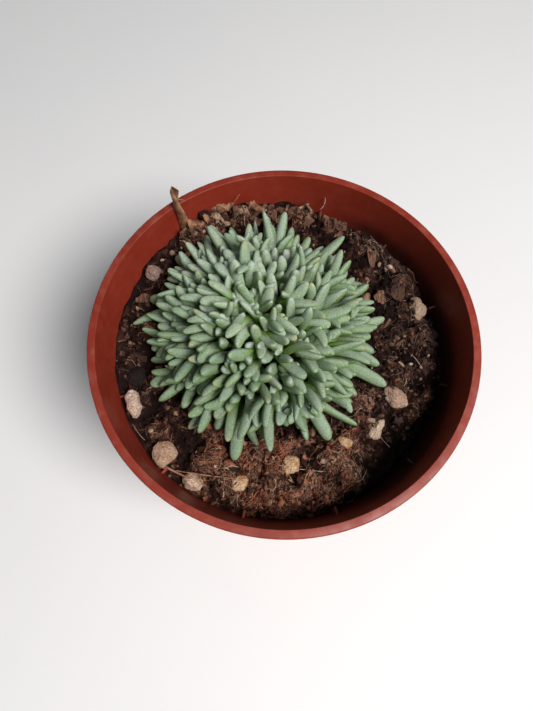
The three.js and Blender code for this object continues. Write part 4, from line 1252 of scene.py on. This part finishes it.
# %% Leaves, before they jostle
class Leaves:
    """Arrays with a row for each leaf: its shoot, root, direction, bend, length, half-width and level."""

    def __init__(self, rows):
        names = ("shoot", "base", "way", "bend", "length", "fat", "level")
        self.__dict__ = {name: np.array(column) for name, column in zip(names, zip(*rows))}
        self.wish = self.way.copy()
        self.base_fit, self.tip_fit = np.ones(len(rows)), np.ones(len(rows))

    def keep(self, mask):
        self.__dict__ = {name: values[mask] for name, values in self.__dict__.items()}

    def midline(self, s):
        along = (self.bend * self.way).sum(axis=1)
        straight = self.way * (self.length * (s - along * s * s))[:, None]
        return self.base + straight + self.bend * (self.length * s * s)[:, None]

    def radius(self, s, widest=LEAF_WIDEST, blunt=5.0):
        rising = 0.62 + 0.38 * math.sin(math.pi / 2 * min(1, s / widest))
        past = max(0, (s - widest) / (1 - widest))
        held = self.base_fit + (self.tip_fit - self.base_fit) * smoothstep(s, 0.4, 0.7)
        return self.fat * held * rising * np.sqrt(np.maximum(0, 1 - past ** blunt))


rows = []
for k in range(SHOOTS):
    for level, (length, tilt_angle, height, fatness) in enumerate(LEAF_PAIRS):
        for half in range(2):
            turn = spin[k] + math.radians(level * 90 + half * 180 + jitter(14))
            tilt = math.radians(tilt_angle + jitter(7))
            outwards = side[k] * math.cos(turn) + front[k] * math.sin(turn)
            way = axis[k] * math.cos(tilt) + outwards * math.sin(tilt)
            root = foot[k] + axis[k] * height + outwards * 0.7
            long = length * (1 + jitter(0.14))
            fat = LEAF_R * fatness * (1 + jitter(0.1))
            bend = outwards * (-0.1 + jitter(0.14))
            bend = bend + side[k] * jitter(0.05)
            rows.append((k, root, way, bend, long, fat, level))
for heading, reach, rise in STRAY_LEAVES:
    a = math.radians(heading)
    tip = CENTRE + np.array([math.cos(a), math.sin(a), 0]) * reach + [0, 0, rise]
    near = int(np.argmin(np.linalg.norm(foot - tip, axis=1)))
    root = foot[near] + axis[near] * 1.6
    long = float(np.linalg.norm(tip - root))
    rows.append((near, root, (tip - root) / long, np.array([0, 0, -0.06]), long, LEAF_R * 1.08, 4))
leaves = Leaves(rows)
print("leaves that start:", len(leaves.length))


# %% [markdown]
# Testing leaf against leaf is slow, so each leaf is stood in for by a row of beads. Two leaves are too close
# where their beads are. The shoots' hubs and stems have beads too, which don't give way. Each round swings
# the leaves a little, keeps them off the compost, and draws them back towards where they want to point.


# %% Beads along the leaves, and the pairs of beads that are close
def beads_of(leaves, shares):
    rows = [(leaves.midline(s), leaves.radius(min(s, 0.93)), s, np.arange(len(leaves.length)), leaves.shoot)
            for s in shares]
    rows += [(foot + axis * h, np.full(SHOOTS, HUB_R), 0, np.full(SHOOTS, -1), np.arange(SHOOTS))
             for h in (0.6, 2.2, 3.4)]
    rows += [(stem_start + (foot - stem_start) * q, np.full(SHOOTS, STEM_R + 0.2), 0,
              np.full(SHOOTS, -1), np.full(SHOOTS, -1)) for q in (0.4, 0.5, 0.6, 0.7, 0.8, 0.9, 1)]
    at, radius, share, leaf, shoot = zip(*rows)
    share = [np.full(len(r), s) for r, s in zip(radius, share)]
    return [np.concatenate(column) for column in (at, radius, share, leaf, shoot)]


def close_pairs(at, share, leaf, shoot, reach=4):
    order = np.argsort(at[:, 0], kind="stable")
    x = at[order, 0]
    counts = np.searchsorted(x, x + reach) - np.arange(len(x)) - 1
    first = np.repeat(np.arange(len(x)), counts)
    second = np.arange(len(first)) - np.repeat(np.cumsum(counts) - counts, counts) + first + 1
    a, b = order[first], order[second]
    near = (np.abs(at[a, 1] - at[b, 1]) <= reach) & (np.abs(at[a, 2] - at[b, 2]) <= reach)
    a, b = a[near], b[near]
    rooted = (shoot[a] == shoot[b]) & ((share[a] < 0.3) | (share[b] < 0.3))
    a, b = a[(leaf[a] != leaf[b]) & ~rooted], b[(leaf[a] != leaf[b]) & ~rooted]
    distance = np.linalg.norm(at[a] - at[b], axis=1)
    near = distance < reach
    return a[near], b[near], distance[near]


# %% Jostle
def lift_off_soil(leaves):
    share = 0.3
    while share < 1.01:
        at = leaves.midline(share)
        lowest = soil_height(at[:, 0], at[:, 1]) + leaves.radius(min(share, 0.9)) + 0.9
        leaves.way[:, 2] += np.maximum(0, lowest - at[:, 2]) / (leaves.length * share)
        leaves.way = unit(leaves.way)
        share += 0.1


def relax(leaves, rounds):
    leaves.base_fit[:] = leaves.tip_fit[:] = 1
    count = len(leaves.length)
    for _ in range(rounds):
        at, radius, share, leaf, shoot = beads_of(leaves, (0.2, 0.32, 0.44, 0.56, 0.68, 0.8, 0.92))
        a, b, distance = close_pairs(at, share, leaf, shoot)
        clear = np.where(shoot[a] == shoot[b], 0.1, 0.45)
        overlap = radius[a] + radius[b] + clear - distance
        hit = overlap > 0
        a, b = a[hit], b[hit]
        apart = (at[a] - at[b]) * (overlap[hit] / 2 / distance[hit])[:, None]
        total, pushes = np.zeros((count, 3)), np.zeros(count)
        for bead, push in ((a, apart), (b, -apart)):
            own = leaf[bead] >= 0
            who = leaf[bead][own]
            step = push[own] / (leaves.length[who] * share[bead][own])[:, None]
            pushes += np.bincount(who, minlength=count)
            moved = [np.bincount(who, weights=step[:, k], minlength=count) for k in range(3)]
            total += np.stack(moved, axis=1)
        leaves.way = leaves.way + total * (0.9 / np.maximum(pushes, 1))[:, None]
        leaves.way = unit(leaves.way + (leaves.wish - leaves.way) * 0.01)
        lift_off_soil(leaves)
        leaves.way = np.floor(leaves.way / SETTLE_STEP + 0.5) * SETTLE_STEP


# %% [markdown]
# Where leaves are still too close, each is made thinner, at its base or its tip, until it has room. A leaf
# that would become too thin is taken out, the tightest first. After that the rest jostle and are thinned
# once more.


# %% Thin out where there is no room
def thin_out(leaves):
    leaves.base_fit[:] = leaves.tip_fit[:] = 1
    at, radius, share, leaf, shoot = beads_of(leaves, [0.16 + k * 0.05 for k in range(17)])
    a, b, distance = close_pairs(at, share, leaf, shoot)
    room = (distance - 0.35) / (radius[a] + radius[b])
    tight = (shoot[a] != shoot[b]) & (room < 1)
    a, b, room = a[tight], b[tight], room[tight]
    count = len(leaves.length)
    kept = np.ones(count, bool)
    while True:
        base, tip = np.ones(count), np.ones(count)
        live = ((leaf[a] < 0) | kept[leaf[a]]) & ((leaf[b] < 0) | kept[leaf[b]])
        for bead in (a[live], b[live]):
            for fit, half in ((base, share[bead] < 0.69), (tip, share[bead] > 0.41)):
                own = half & (leaf[bead] >= 0)
                np.minimum.at(fit, leaf[bead][own], room[live][own])
        space = np.where(kept, np.minimum(base / LEAST_BASE, tip / LEAST_TIP), 9)
        worst = count - 1 - int(np.argmin(space[::-1]))
        if space[worst] >= 1:
            break
        kept[worst] = False
    leaves.base_fit, leaves.tip_fit = base, tip
    leaves.keep(kept)


for rounds in (RELAX_ROUNDS, RELAX_ROUNDS // 4):
    relax(leaves, rounds)
    thin_out(leaves)
print("leaves that stay:", len(leaves.length))

# %% [markdown]
# ## The woody crown
# Under the leaves the old stems have turned woody. A low dome and one short stem for each shoot are modelled
# with primitives and joined. A boolean union would leave hard creases between them, so a voxel remesh melts
# them into one body, as wood grows together, and a smooth modifier rounds it.

# %% Crown
DOME_R, DOME_RISE, DOME_SUNK = 11, 4, 2
dome = primitive(bpy.ops.mesh.primitive_uv_sphere_add, segments=48, ring_count=24, radius=1 * MM)
set_points(dome, points(dome) * [DOME_R, DOME_R, DOME_RISE] + CENTRE - [0, 0, DOME_SUNK])
stem = primitive(bpy.ops.mesh.primitive_cylinder_add, vertices=10, radius=1 * MM, depth=1 * MM)
base = points(stem)
way = foot - stem_start
long = np.linalg.norm(way, axis=1) - 0.3
ahead = unit(way)
across = unit(np.cross(ahead, [0.1, 0.2, 1.0]))
up = np.cross(across, ahead)
share = base[:, 2] + 0.5
wide = STEM_R + (STEM_TIP_R - STEM_R) * share
shapes = stem_start[:, None] + ahead[:, None] * (long[:, None] * share)[..., None]
shapes = shapes + across[:, None] * (base[:, 0] * wide)[None, :, None]
shapes = shapes - up[:, None] * (base[:, 1] * wide)[None, :, None]
crown = join([dome, copies("stems", stem, shapes)])
discard(stem)
modify(crown, "REMESH", mode="VOXEL", voxel_size=0.55 * MM)
modify(crown, "SMOOTH", factor=0.5, iterations=2)
print("stems:", len(shapes))

# %% [markdown]
# Old stems are brown and dull, and soil lies on them. The leaves hide most of this, so the shared mottle and
# dust are enough here, and a coarse bump stands for the bark.

# %% Crown finish
material, tree, to = new_material("woody_crown", Roughness=0.9)
woody = grouped(tree, "Mottle", {
    "Color A": rgb(92, 68, 48), "Color B": rgb(128, 100, 72), "Scale": 500.0, "Edge": 0.14})
feed(tree, to["Base Color"], grouped(tree, "Dust", {"Color": woody, "Film": rgb(60, 44, 34), "Amount": 0.5}))
feed(tree, to["Normal"], bump(tree, cloud(tree, 1300.0, 4.0), 0.25 * MM, 0.8))
dress(crown, "crown_wood", material, "woody_stem", "crown")

# %% [markdown]
# ## The leaves
# A leaf is a fleshy finger: round below, a little flattened above, widest past its middle and blunt at its
# tip. An armature could bend one leaf, but here hundreds bend, each in its own way. So one is modelled as a
# tube cut into rings, and every leaf is a copy, laid along its own bent midline. Each copy carries how far
# along the leaf a point is, how old the leaf is, and a random tint, so that one material colours them all.

# %% One leaf
LEAF_SIDES = 8
LEAF_SHARES = np.array([0.0, 0.16, 0.4, 0.64, 0.82, 0.92, 0.97, 0.993])
leaf = place(primitive(bpy.ops.mesh.primitive_cylinder_add, vertices=LEAF_SIDES, radius=1 * MM, depth=1 * MM,
                       end_fill_type="TRIFAN", location=(0, 0, 0.5 * MM)))
with editing(leaf):
    for k in range(1, len(LEAF_SHARES) - 1):
        bpy.ops.mesh.select_all(action="SELECT")
        bpy.ops.mesh.bisect(plane_co=(0, 0, k / (len(LEAF_SHARES) - 1) * MM), plane_no=(0, 0, 1))
leaf_points = points(leaf)
ring = np.rint(leaf_points[:, 2] * (len(LEAF_SHARES) - 1)).astype(int)
pole = np.hypot(leaf_points[:, 0], leaf_points[:, 1]) < 0.5
leaf_share = np.where(pole & (ring > 0), 1.0, LEAF_SHARES[ring])
leaf_angle = np.rint(np.degrees(np.arctan2(leaf_points[:, 1], leaf_points[:, 0]))).astype(int)
# Across and up from the midline, in half-widths: nearly flat above, an edge at each side, a keel below
LEAF_SECTION = {90: (0.0, 0.66), 45: (0.82, 0.58), 0: (1.14, 0.1), -45: (0.76, -0.66), -90: (0.0, -1.12),
                135: (-0.82, 0.58), 180: (-1.14, 0.1), -180: (-1.14, 0.1), -135: (-0.76, -0.66)}
print("faces of a leaf:", len(leaf.data.polygons))


# %% Lay a copy of the leaf along each midline
leaf_draw = np.random.RandomState(7)


def leaf_shapes(leaves, above, bowed):
    """Points of every copy. above is the side of each leaf that faces its shoot's axis."""
    shapes = np.empty((len(leaves.length), len(leaf_points), 3))
    count = len(leaves.length)
    bow = np.cross(leaves.way, leaf_draw.randn(count, 3)) * leaves.length[:, None] * bowed
    curl = above * (leaves.length * (0.01 + 0.06 * leaf_draw.rand(count)))[:, None]
    blunt = 2.8 + 2.8 * leaf_draw.rand(count)
    roll = leaf_draw.randn(count, 1) * 0.42
    for k, (s, angle, middle) in enumerate(zip(leaf_share, leaf_angle, pole)):
        at = leaves.midline(s) + bow * math.sin(math.pi * s) + curl * s ** 3
        ahead = unit(leaves.midline(s + 0.01) - leaves.midline(s - 0.01))
        level_up = unit(above - ahead * (above * ahead).sum(axis=1, keepdims=True))
        level_across = np.cross(ahead, level_up)
        upper = level_up * np.cos(roll) + level_across * np.sin(roll)
        across = level_across * np.cos(roll) - level_up * np.sin(roll)
        if not middle:
            wide = leaves.radius(s, 0.52, blunt)[:, None]
            at = at + across * wide * LEAF_SECTION[angle][0] + upper * wide * LEAF_SECTION[angle][1]
        shapes[:, k] = at
    return shapes


# %% [markdown]
# In the middle of each shoot one pair of young leaves stands nearly upright. It is too small for the solid
# model, and here it closes the heart of the rosette.

# %% Young leaves in the middle of each shoot
YOUNG_LENGTH, YOUNG_R = 7.8, 1.15
young_rows = []
for k in range(SHOOTS):
    for half in range(2):
        turn = spin[k] + math.radians(90 + half * 180 + jitter(20))
        tilt = math.radians(11 + jitter(6))
        outwards = side[k] * math.cos(turn) + front[k] * math.sin(turn)
        way = axis[k] * math.cos(tilt) + outwards * math.sin(tilt)
        root = foot[k] + axis[k] * 3.4 + outwards * 0.75
        long, fat = YOUNG_LENGTH * (1 + jitter(0.2)), YOUNG_R * (1 + jitter(0.15))
        young_rows.append((k, root, way, outwards * -0.08, long, fat, -1))
print("young leaves:", len(young_rows))

# %% [markdown]
# Between the shoots, side shoots have just begun, and their short leaves close the gaps of the cushion. A
# short leaf is tried in several directions from a point between the stems, and it stays in the direction
# that leaves it the most room. Where there is too little room, none grows. On top of the cushion they are
# longer, but none rises far above the height of the grown leaves.

# %% Short leaves that fill the gaps
SHORT_LEAVES, SHORT_ON_TOP, TRIES, HIGHEST_TIP = 520, 150, 18, 101.0
shares = np.linspace(0.1, 1, 10)
taken = np.concatenate([leaves.midline(q) for q in shares])
taken_r = np.concatenate([leaves.radius(min(q, 0.93)) for q in shares])
check = np.linspace(0.55, 1, 5)
short_rows = []
for k in range(SHORT_LEAVES):
    tilt = math.acos(1 - 0.75 * ((k + 0.5) / SHORT_LEAVES) ** 1.3)
    heading = math.radians(k * GOLDEN_ANGLE + 40)
    level = math.sin(tilt)
    outwards = np.array([level * math.cos(heading), level * math.sin(heading), math.cos(tilt)])
    on_top = k < SHORT_ON_TOP
    root = CENTRE + outwards * [17.5, 17.5, 7.5] + outwards * ((6.4 if on_top else 3.4) + jitter(1.8))
    long, fat = (10.8 if on_top else 9.8) + jitter(2.0), 1.28 + jitter(0.2)
    lean = 2.2 if on_top else 1.5 - 0.8 * k / SHORT_LEAVES
    ways = [unit(outwards + [jitter(lean), jitter(lean), jitter(0.4)]) for _ in range(TRIES)]
    lines = root + np.array(ways)[:, None] * (long * check)[None, :, None]
    gaps = np.linalg.norm(lines[:, :, None] - taken, axis=3) - taken_r - fat
    room = gaps.min(axis=(1, 2)) - np.maximum(0, lines[:, -1, 2] + fat - HIGHEST_TIP)
    best = int(np.argmax(room))
    if room[best] > -0.75 + 0.4 * k / SHORT_LEAVES:
        near = int(np.argmin(np.linalg.norm(foot - root, axis=1)))
        bend = np.array([jitter(0.12), jitter(0.12), 0.0])
        short_rows.append((near, root, ways[best], bend, long, fat, 0))
        taken = np.concatenate([taken, lines[best]])
        taken_r = np.concatenate([taken_r, np.full(len(check), fat)])
young = Leaves(young_rows + short_rows)
print("short leaves:", len(short_rows))

# %% [markdown]
# A leaf of this plant is a fresh yellow-green, but fine pale papillae and a waxy bloom on its skin make it
# look grey-green. A flat grey-green would look like plastic, so the two are laid over each other, as on the
# plant. The bloom is thin at the base of a leaf and on young leaves, where the flesh shows. Light and shade
# are painted into it as well: what faces up is painted paler as a highlight and the sides greener as shade,
# the middle of the cushion is painted paler and its rim darker, the near left is painted darker and duller
# as shade, and towards the right the bloom is thinned as painted light, so the lit flesh shows green. The
# flesh lets some light through, so some subsurface scattering is set.

# %% The bloom on a leaf
leaf_finish, tree, to = new_material("leaf_skin", Subsurface_Weight=0.42, Subsurface_Scale=1.7 * MM, IOR=1.4,
                                     Specular_IOR_Level=0.3, Sheen_Weight=0.04, Sheen_Roughness=0.5)
to["Subsurface Radius"].default_value = (0.55, 1.0, 0.16)
along, tint, age = (attribute(tree, name) for name in ("along", "tint", "age"))
other = calc(tree, "FRACT", times(tree, tint, 7.31))
up = facing_up(tree)
bloom = grouped(tree, "Mottle", {
    "Color A": rgb(154, 173, 149), "Color B": rgb(131, 152, 122), "Scale": 330.0, "Edge": 0.2})
# Painted highlight: what faces up is painted paler
bloom = blend(tree, span(tree, up, 0.45, 0.98, 0.0, 0.55), bloom, rgb(198, 208, 205))
bloom = blend(tree, span(tree, tint, 0.0, 1.0, 0.0, 0.6), bloom, rgb(180, 194, 182))
bloom = blend(tree, span(tree, other, 0.75, 1.0, 0.0, 0.5), bloom, rgb(166, 168, 146))
from_foot = {"Vector": place_of(tree), "Location": (-CENTRE[0] * MM, -CENTRE[1] * MM, 0), "Scale": (1, 1, 0)}
offset = add(tree, "ShaderNodeMapping", from_foot)
from_middle = length_of(tree, offset)
near_left = dot(tree, offset, (-0.8, -0.6, 0))
# Painted shade: the leaves at the near left are darker and duller
bloom = blend(tree, span(tree, near_left, 2 * MM, 26 * MM, 0.0, 0.7), bloom, rgb(123, 144, 117))
# Painted highlight: the middle of the cushion is paler
bloom = blend(tree, span(tree, from_middle, 20 * MM, 8 * MM, 0.0, 0.55), bloom, rgb(188, 203, 186))
east = span(tree, split_place(tree)["X"], -4 * MM, 22 * MM)
# Painted light and shade: the bloom covers what faces up and thins on the sides, where the green flesh shows
bloom_and_painted_light = times(tree, span(tree, up, -0.6, 0.8), span(tree, along, 0.14, 0.72))
# Painted light: towards the right the bloom thins, so the lit flesh shows greener
bloom_and_painted_light = times(tree, bloom_and_painted_light, span(tree, east, 0.0, 1.0, 1.0, 0.74))
# Painted shade: towards the rim of the cushion the bloom thins and the leaves are darker
bloom_and_painted_light = times(tree, bloom_and_painted_light, span(tree, from_middle, 14 * MM, 32 * MM, 1.0, 0.84))
print("nodes for the bloom:", len(tree.nodes))

# %% The flesh, the papillae and the tips
flesh = blend(tree, other, rgb(92, 130, 30), rgb(106, 142, 44))
skin = blend(tree, bloom_and_painted_light, flesh, bloom)
fresh = blend(tree, tint, rgb(88, 126, 30), rgb(112, 148, 46))
thin_bloom = calc(tree, "ADD", span(tree, along, 0.45, 0.08), span(tree, age, 0.2, 0.0, 0.0, 0.2), clamp=True)
skin = blend(tree, thin_bloom, skin, fresh)
papillae = grouped(tree, "Specks", {"Scale": 1900.0, "Size": 0.46})
skin = blend(tree, times(tree, papillae, 0.42), skin, rgb(210, 216, 208))
pits = span(tree, cloud(tree, 2100.0, 2.0, 0.6), 0.5, 0.64)
skin = blend(tree, times(tree, pits, 0.42), skin, rgb(96, 122, 78))
tired = times(tree, span(tree, along, 0.88, 1.0), span(tree, tint, 0.88, 0.95))
skin = blend(tree, times(tree, tired, 0.5), skin, rgb(176, 168, 116))
feed(tree, to["Base Color"], skin)
feed(tree, to["Roughness"], span(tree, cloud(tree, 900.0), 0.3, 0.7, 0.55, 0.7))
feed(tree, to["Normal"], bump(tree, papillae, 0.08 * MM, 0.6))
print("nodes of the leaf's skin:", len(tree.nodes))

# %% [markdown]
# A shoot's hub, its grown leaves, its young pair and the short leaves that stand nearest to it are joined
# into one piece, because the solid model has one node for each shoot.

# %% Build each shoot's rosette
grown_tints, young_tints = leaf_draw.rand(len(leaves.length)), leaf_draw.rand(len(young.length))
grown_shapes = leaf_shapes(leaves, axis[leaves.shoot], 0.055)
young_shapes = leaf_shapes(young, axis[young.shoot], 0.1)
hub = place(primitive(bpy.ops.mesh.primitive_cylinder_add, vertices=12, radius=1 * MM, depth=1 * MM,
                      location=(0, 0, 0.5 * MM)))
modify(hub, "BEVEL", width=0.2 * MM, segments=2, limit_method="ANGLE")
hub_points = points(hub)
for k in range(SHOOTS):
    wide = HUB_R * (1 - 0.3 * hub_points[:, 2:])
    shape = foot[k] + axis[k] * (hub_points[:, 2:] * HUB_LENGTH)
    shape = shape + side[k] * (hub_points[:, :1] * wide) + front[k] * (hub_points[:, 1:2] * wide)
    own, young_own = leaves.shoot == k, young.shoot == k
    ages = 0.25 + 0.25 * np.clip(leaves.level[own], 0, 3)
    parts = [
        copies("hub", hub, shape[None], along=0.1, tint=0.5, age=0.3),
        copies("grown", leaf, grown_shapes[own], along=leaf_share, tint=grown_tints[own, None],
               age=ages[:, None]),
        copies("young", leaf, young_shapes[young_own], along=leaf_share, tint=young_tints[young_own, None],
               age=0.0)]
    dress(join(parts), f"shoot_{k + 1:02d}_leaves", leaf_finish, "leaf", f"rosette_{k + 1:02d}")
discard(hub, leaf)

# %% [markdown]
# ## The dry shard, scraps and twig
# A dry brown shard stands at the back left: a thin husk, curled along its length, with ragged edges. Cloth
# simulation could curl it, but the picture fixes its outline. So it is a strip with many cuts, rolled into a
# trough by moving its points, and then given a thickness. Smaller scraps of the same kind lie beside it,
# along the back and at the right.

# %% Shape of a husk
# The shard's ends, and how wide a husk is along its length
SHARD_FOOT, SHARD_TIP = np.array([-28.6, 36.4, 70.0]), np.array([-30.8, 38.4, 98.0])
HUSK_SHARES, HUSK_WIDTHS = [0, 0.25, 0.5, 0.64, 0.76, 0.9, 1], [1.3, 1.3, 1.15, 1.05, 0.75, 0.6, 0.2]


def husk(start, end, wide, roll, seed, thickness):
    obj = primitive(bpy.ops.mesh.primitive_grid_add, x_subdivisions=10, y_subdivisions=34, size=1 * MM)
    u, v = (points(obj)[:, :2] + 0.5).T
    along = unit(end - start)
    across = unit(np.cross(along, [0.25, 1.0, 0.1]))
    deep = np.cross(across, along)
    long = np.linalg.norm(end - start)
    ragged = np.array([noise.noise(Vector((a * 3.0, b * 7.0, seed))) for a, b in zip(u, v)])
    taper = wide / 2 * np.interp(v, HUSK_SHARES, HUSK_WIDTHS) * (1 + 0.3 * ragged)
    angle = (u - 0.5) * roll * (0.8 + 0.5 * v) + ragged * 0.4 + 1.8 * v
    sway = 0.9 * np.sin(v * 7) * (1 - v)
    x = np.sin(angle) * taper + sway
    y = (1 - np.cos(angle)) * taper * 0.8 + sway * 0.6 + ragged * 0.35
    z = v * long * (1 - 0.1 * np.abs(ragged) * smoothstep(v, 0.7, 1))
    at = start + along * z[:, None] + across * x[:, None] + deep * y[:, None]
    room = np.minimum(1, (wall_inner_r(at[:, 2]) - 0.5) / np.hypot(*at[:, :2].T))
    at[:, :2] *= (room + (1 - room) * smoothstep(at[:, 2], 80, 90))[:, None]
    set_points(obj, at)
    modify(obj, "SOLIDIFY", thickness=thickness * MM, offset=0)
    modify(obj, "SUBSURF", levels=1, render_levels=1)
    outward(obj)
    return obj


print(f"the shard is {np.linalg.norm(SHARD_TIP - SHARD_FOOT):.1f} mm long")

# %% [markdown]
# A dry husk is papery and tan, with fine veins along it and soil on its lower part. Its veins are too thin to
# be modelled. So a cloud that is stretched upwards draws them, both in the colour and in the bump.

# %% Husk finish
material, tree, to = new_material("dry_husk", Roughness=0.8)
husky = grouped(tree, "Mottle", {
    "Color A": rgb(190, 138, 98), "Color B": rgb(120, 76, 52), "Scale": 350.0, "Edge": 0.12})
veins = add(tree, "ShaderNodeMapping", {"Vector": place_of(tree), "Scale": (1.0, 1.0, 0.12)})
vein = span(tree, cloud(tree, 2100.0, 3.0, 0.5, veins), 0.42, 0.62)
husky = blend(tree, times(tree, vein, 0.5), husky, rgb(198, 158, 122))
low_down = span(tree, split_place(tree)["Z"], 88 * MM, 80 * MM)
soiled = times(tree, low_down, span(tree, cloud(tree, 500.0), 0.35, 0.62, 0.15, 0.9))
feed(tree, to["Base Color"], blend(tree, soiled, husky, rgb(98, 56, 42)))
feed(tree, to["Normal"], bump(tree, vein, 0.12 * MM, 0.7))
husk_finish = material
print("husk finish:", husk_finish.name)

# %% The shard and the scraps
shard = husk(SHARD_FOOT, SHARD_TIP, wide=4.4, roll=3.2, seed=1.0, thickness=0.3)
dress(shard, "dry_shard_husk", husk_finish, "dry_leaf", "dry_shard")
# Each scrap's two ends, width and seed
SCRAPS = (((-27.6, 35.2), (-23.0, 38.4), 3.2, 6.0), ((42.6, 23.4), (40.8, 28.6), 2.6, 7.0),
          ((-19.0, 42.6), (-14.4, 45.4), 2.8, 2.0), ((-22.6, 38.6), (-19.6, 42.0), 2.4, 3.0),
          ((-10.5, 43.8), (-5.5, 44.6), 2.2, 5.0))
scraps = []
for (x0, y0), (x1, y1), wide, seed in SCRAPS:
    start = np.array([x0, y0, float(surface(x0, y0)) + 0.7])
    end = np.array([x1, y1, float(surface(x1, y1)) + 1.5])
    scraps.append(husk(start, end, wide, 3.6, seed, 0.25))
dress(join(scraps), "dry_scraps", husk_finish, "dry_leaf")

# %% [markdown]
# A thin twig and a few pale threads lie on the compost, most of them at the front, and two threads lean
# against the wall at the back. They are the fibre's tube again, along lines that are given by their ends.

# %% Twig and threads
# Each one's two ends, radius, tint and how high it arches over the compost
THREADS = (
    ((-36.0, -31.6), (-21.0, -38.6), 0.36, 0.62, 2.1), ((-34.5, -33.6), (-14.0, -36.8), 0.2, 0.66, 1.9),
    ((-6.4, -32.0), (14.2, -34.9), 0.1, 0.99, 0.9), ((-30.5, -24.0), (-33.0, -34.0), 0.12, 0.7, 0.9),
    ((24.5, -20.0), (30.5, -27.5), 0.09, 0.95, 0.9), ((-38.0, -26.5), (-41.8, -22.0), 0.09, 0.9, 0.9),
    ((19.0, -37.8), (23.5, -33.5), 0.1, 0.96, 1.2), ((37.0, -1.0), (41.0, -5.5), 0.1, 1.0, 1.0),
    ((-17.4, 44.6), (-12.8, 47.0), 0.1, 0.8, 4.5), ((9.5, -43.5), (12.5, -38.5), 0.12, 0.6, 1.2),
    ((11.8, 44.5), (13.6, 47.6), 0.12, 1.0, 4.5))
lines = []
for (x0, y0), (x1, y1), radius, tint_value, rise in THREADS:
    share = np.linspace(0, 1, STEPS)
    bow = 0.8 * np.sin(share * 3.14) * (0.5 if radius > 0.15 else 1)
    x, y = x0 + (x1 - x0) * share + bow * 0.5, y0 + (y1 - y0) * share - bow
    x, y = (values * np.minimum(1, 48.3 / np.hypot(x, y)) for values in (x, y))
    arch = 0.4 + share if rise > 4 else np.sin(0.4 + share * 2.4)
    z = soil_height(x, y) + radius + 0.5 + rise * arch
    lines.append(np.stack([x, y, z], axis=1))
threads = tubes("threads", np.array(lines), [t[2] for t in THREADS], tint=np.array([[t[3]] for t in THREADS]))
dress(threads, "twig_and_threads", coir_finish, "bark")
discard(thread)

# %% [markdown]
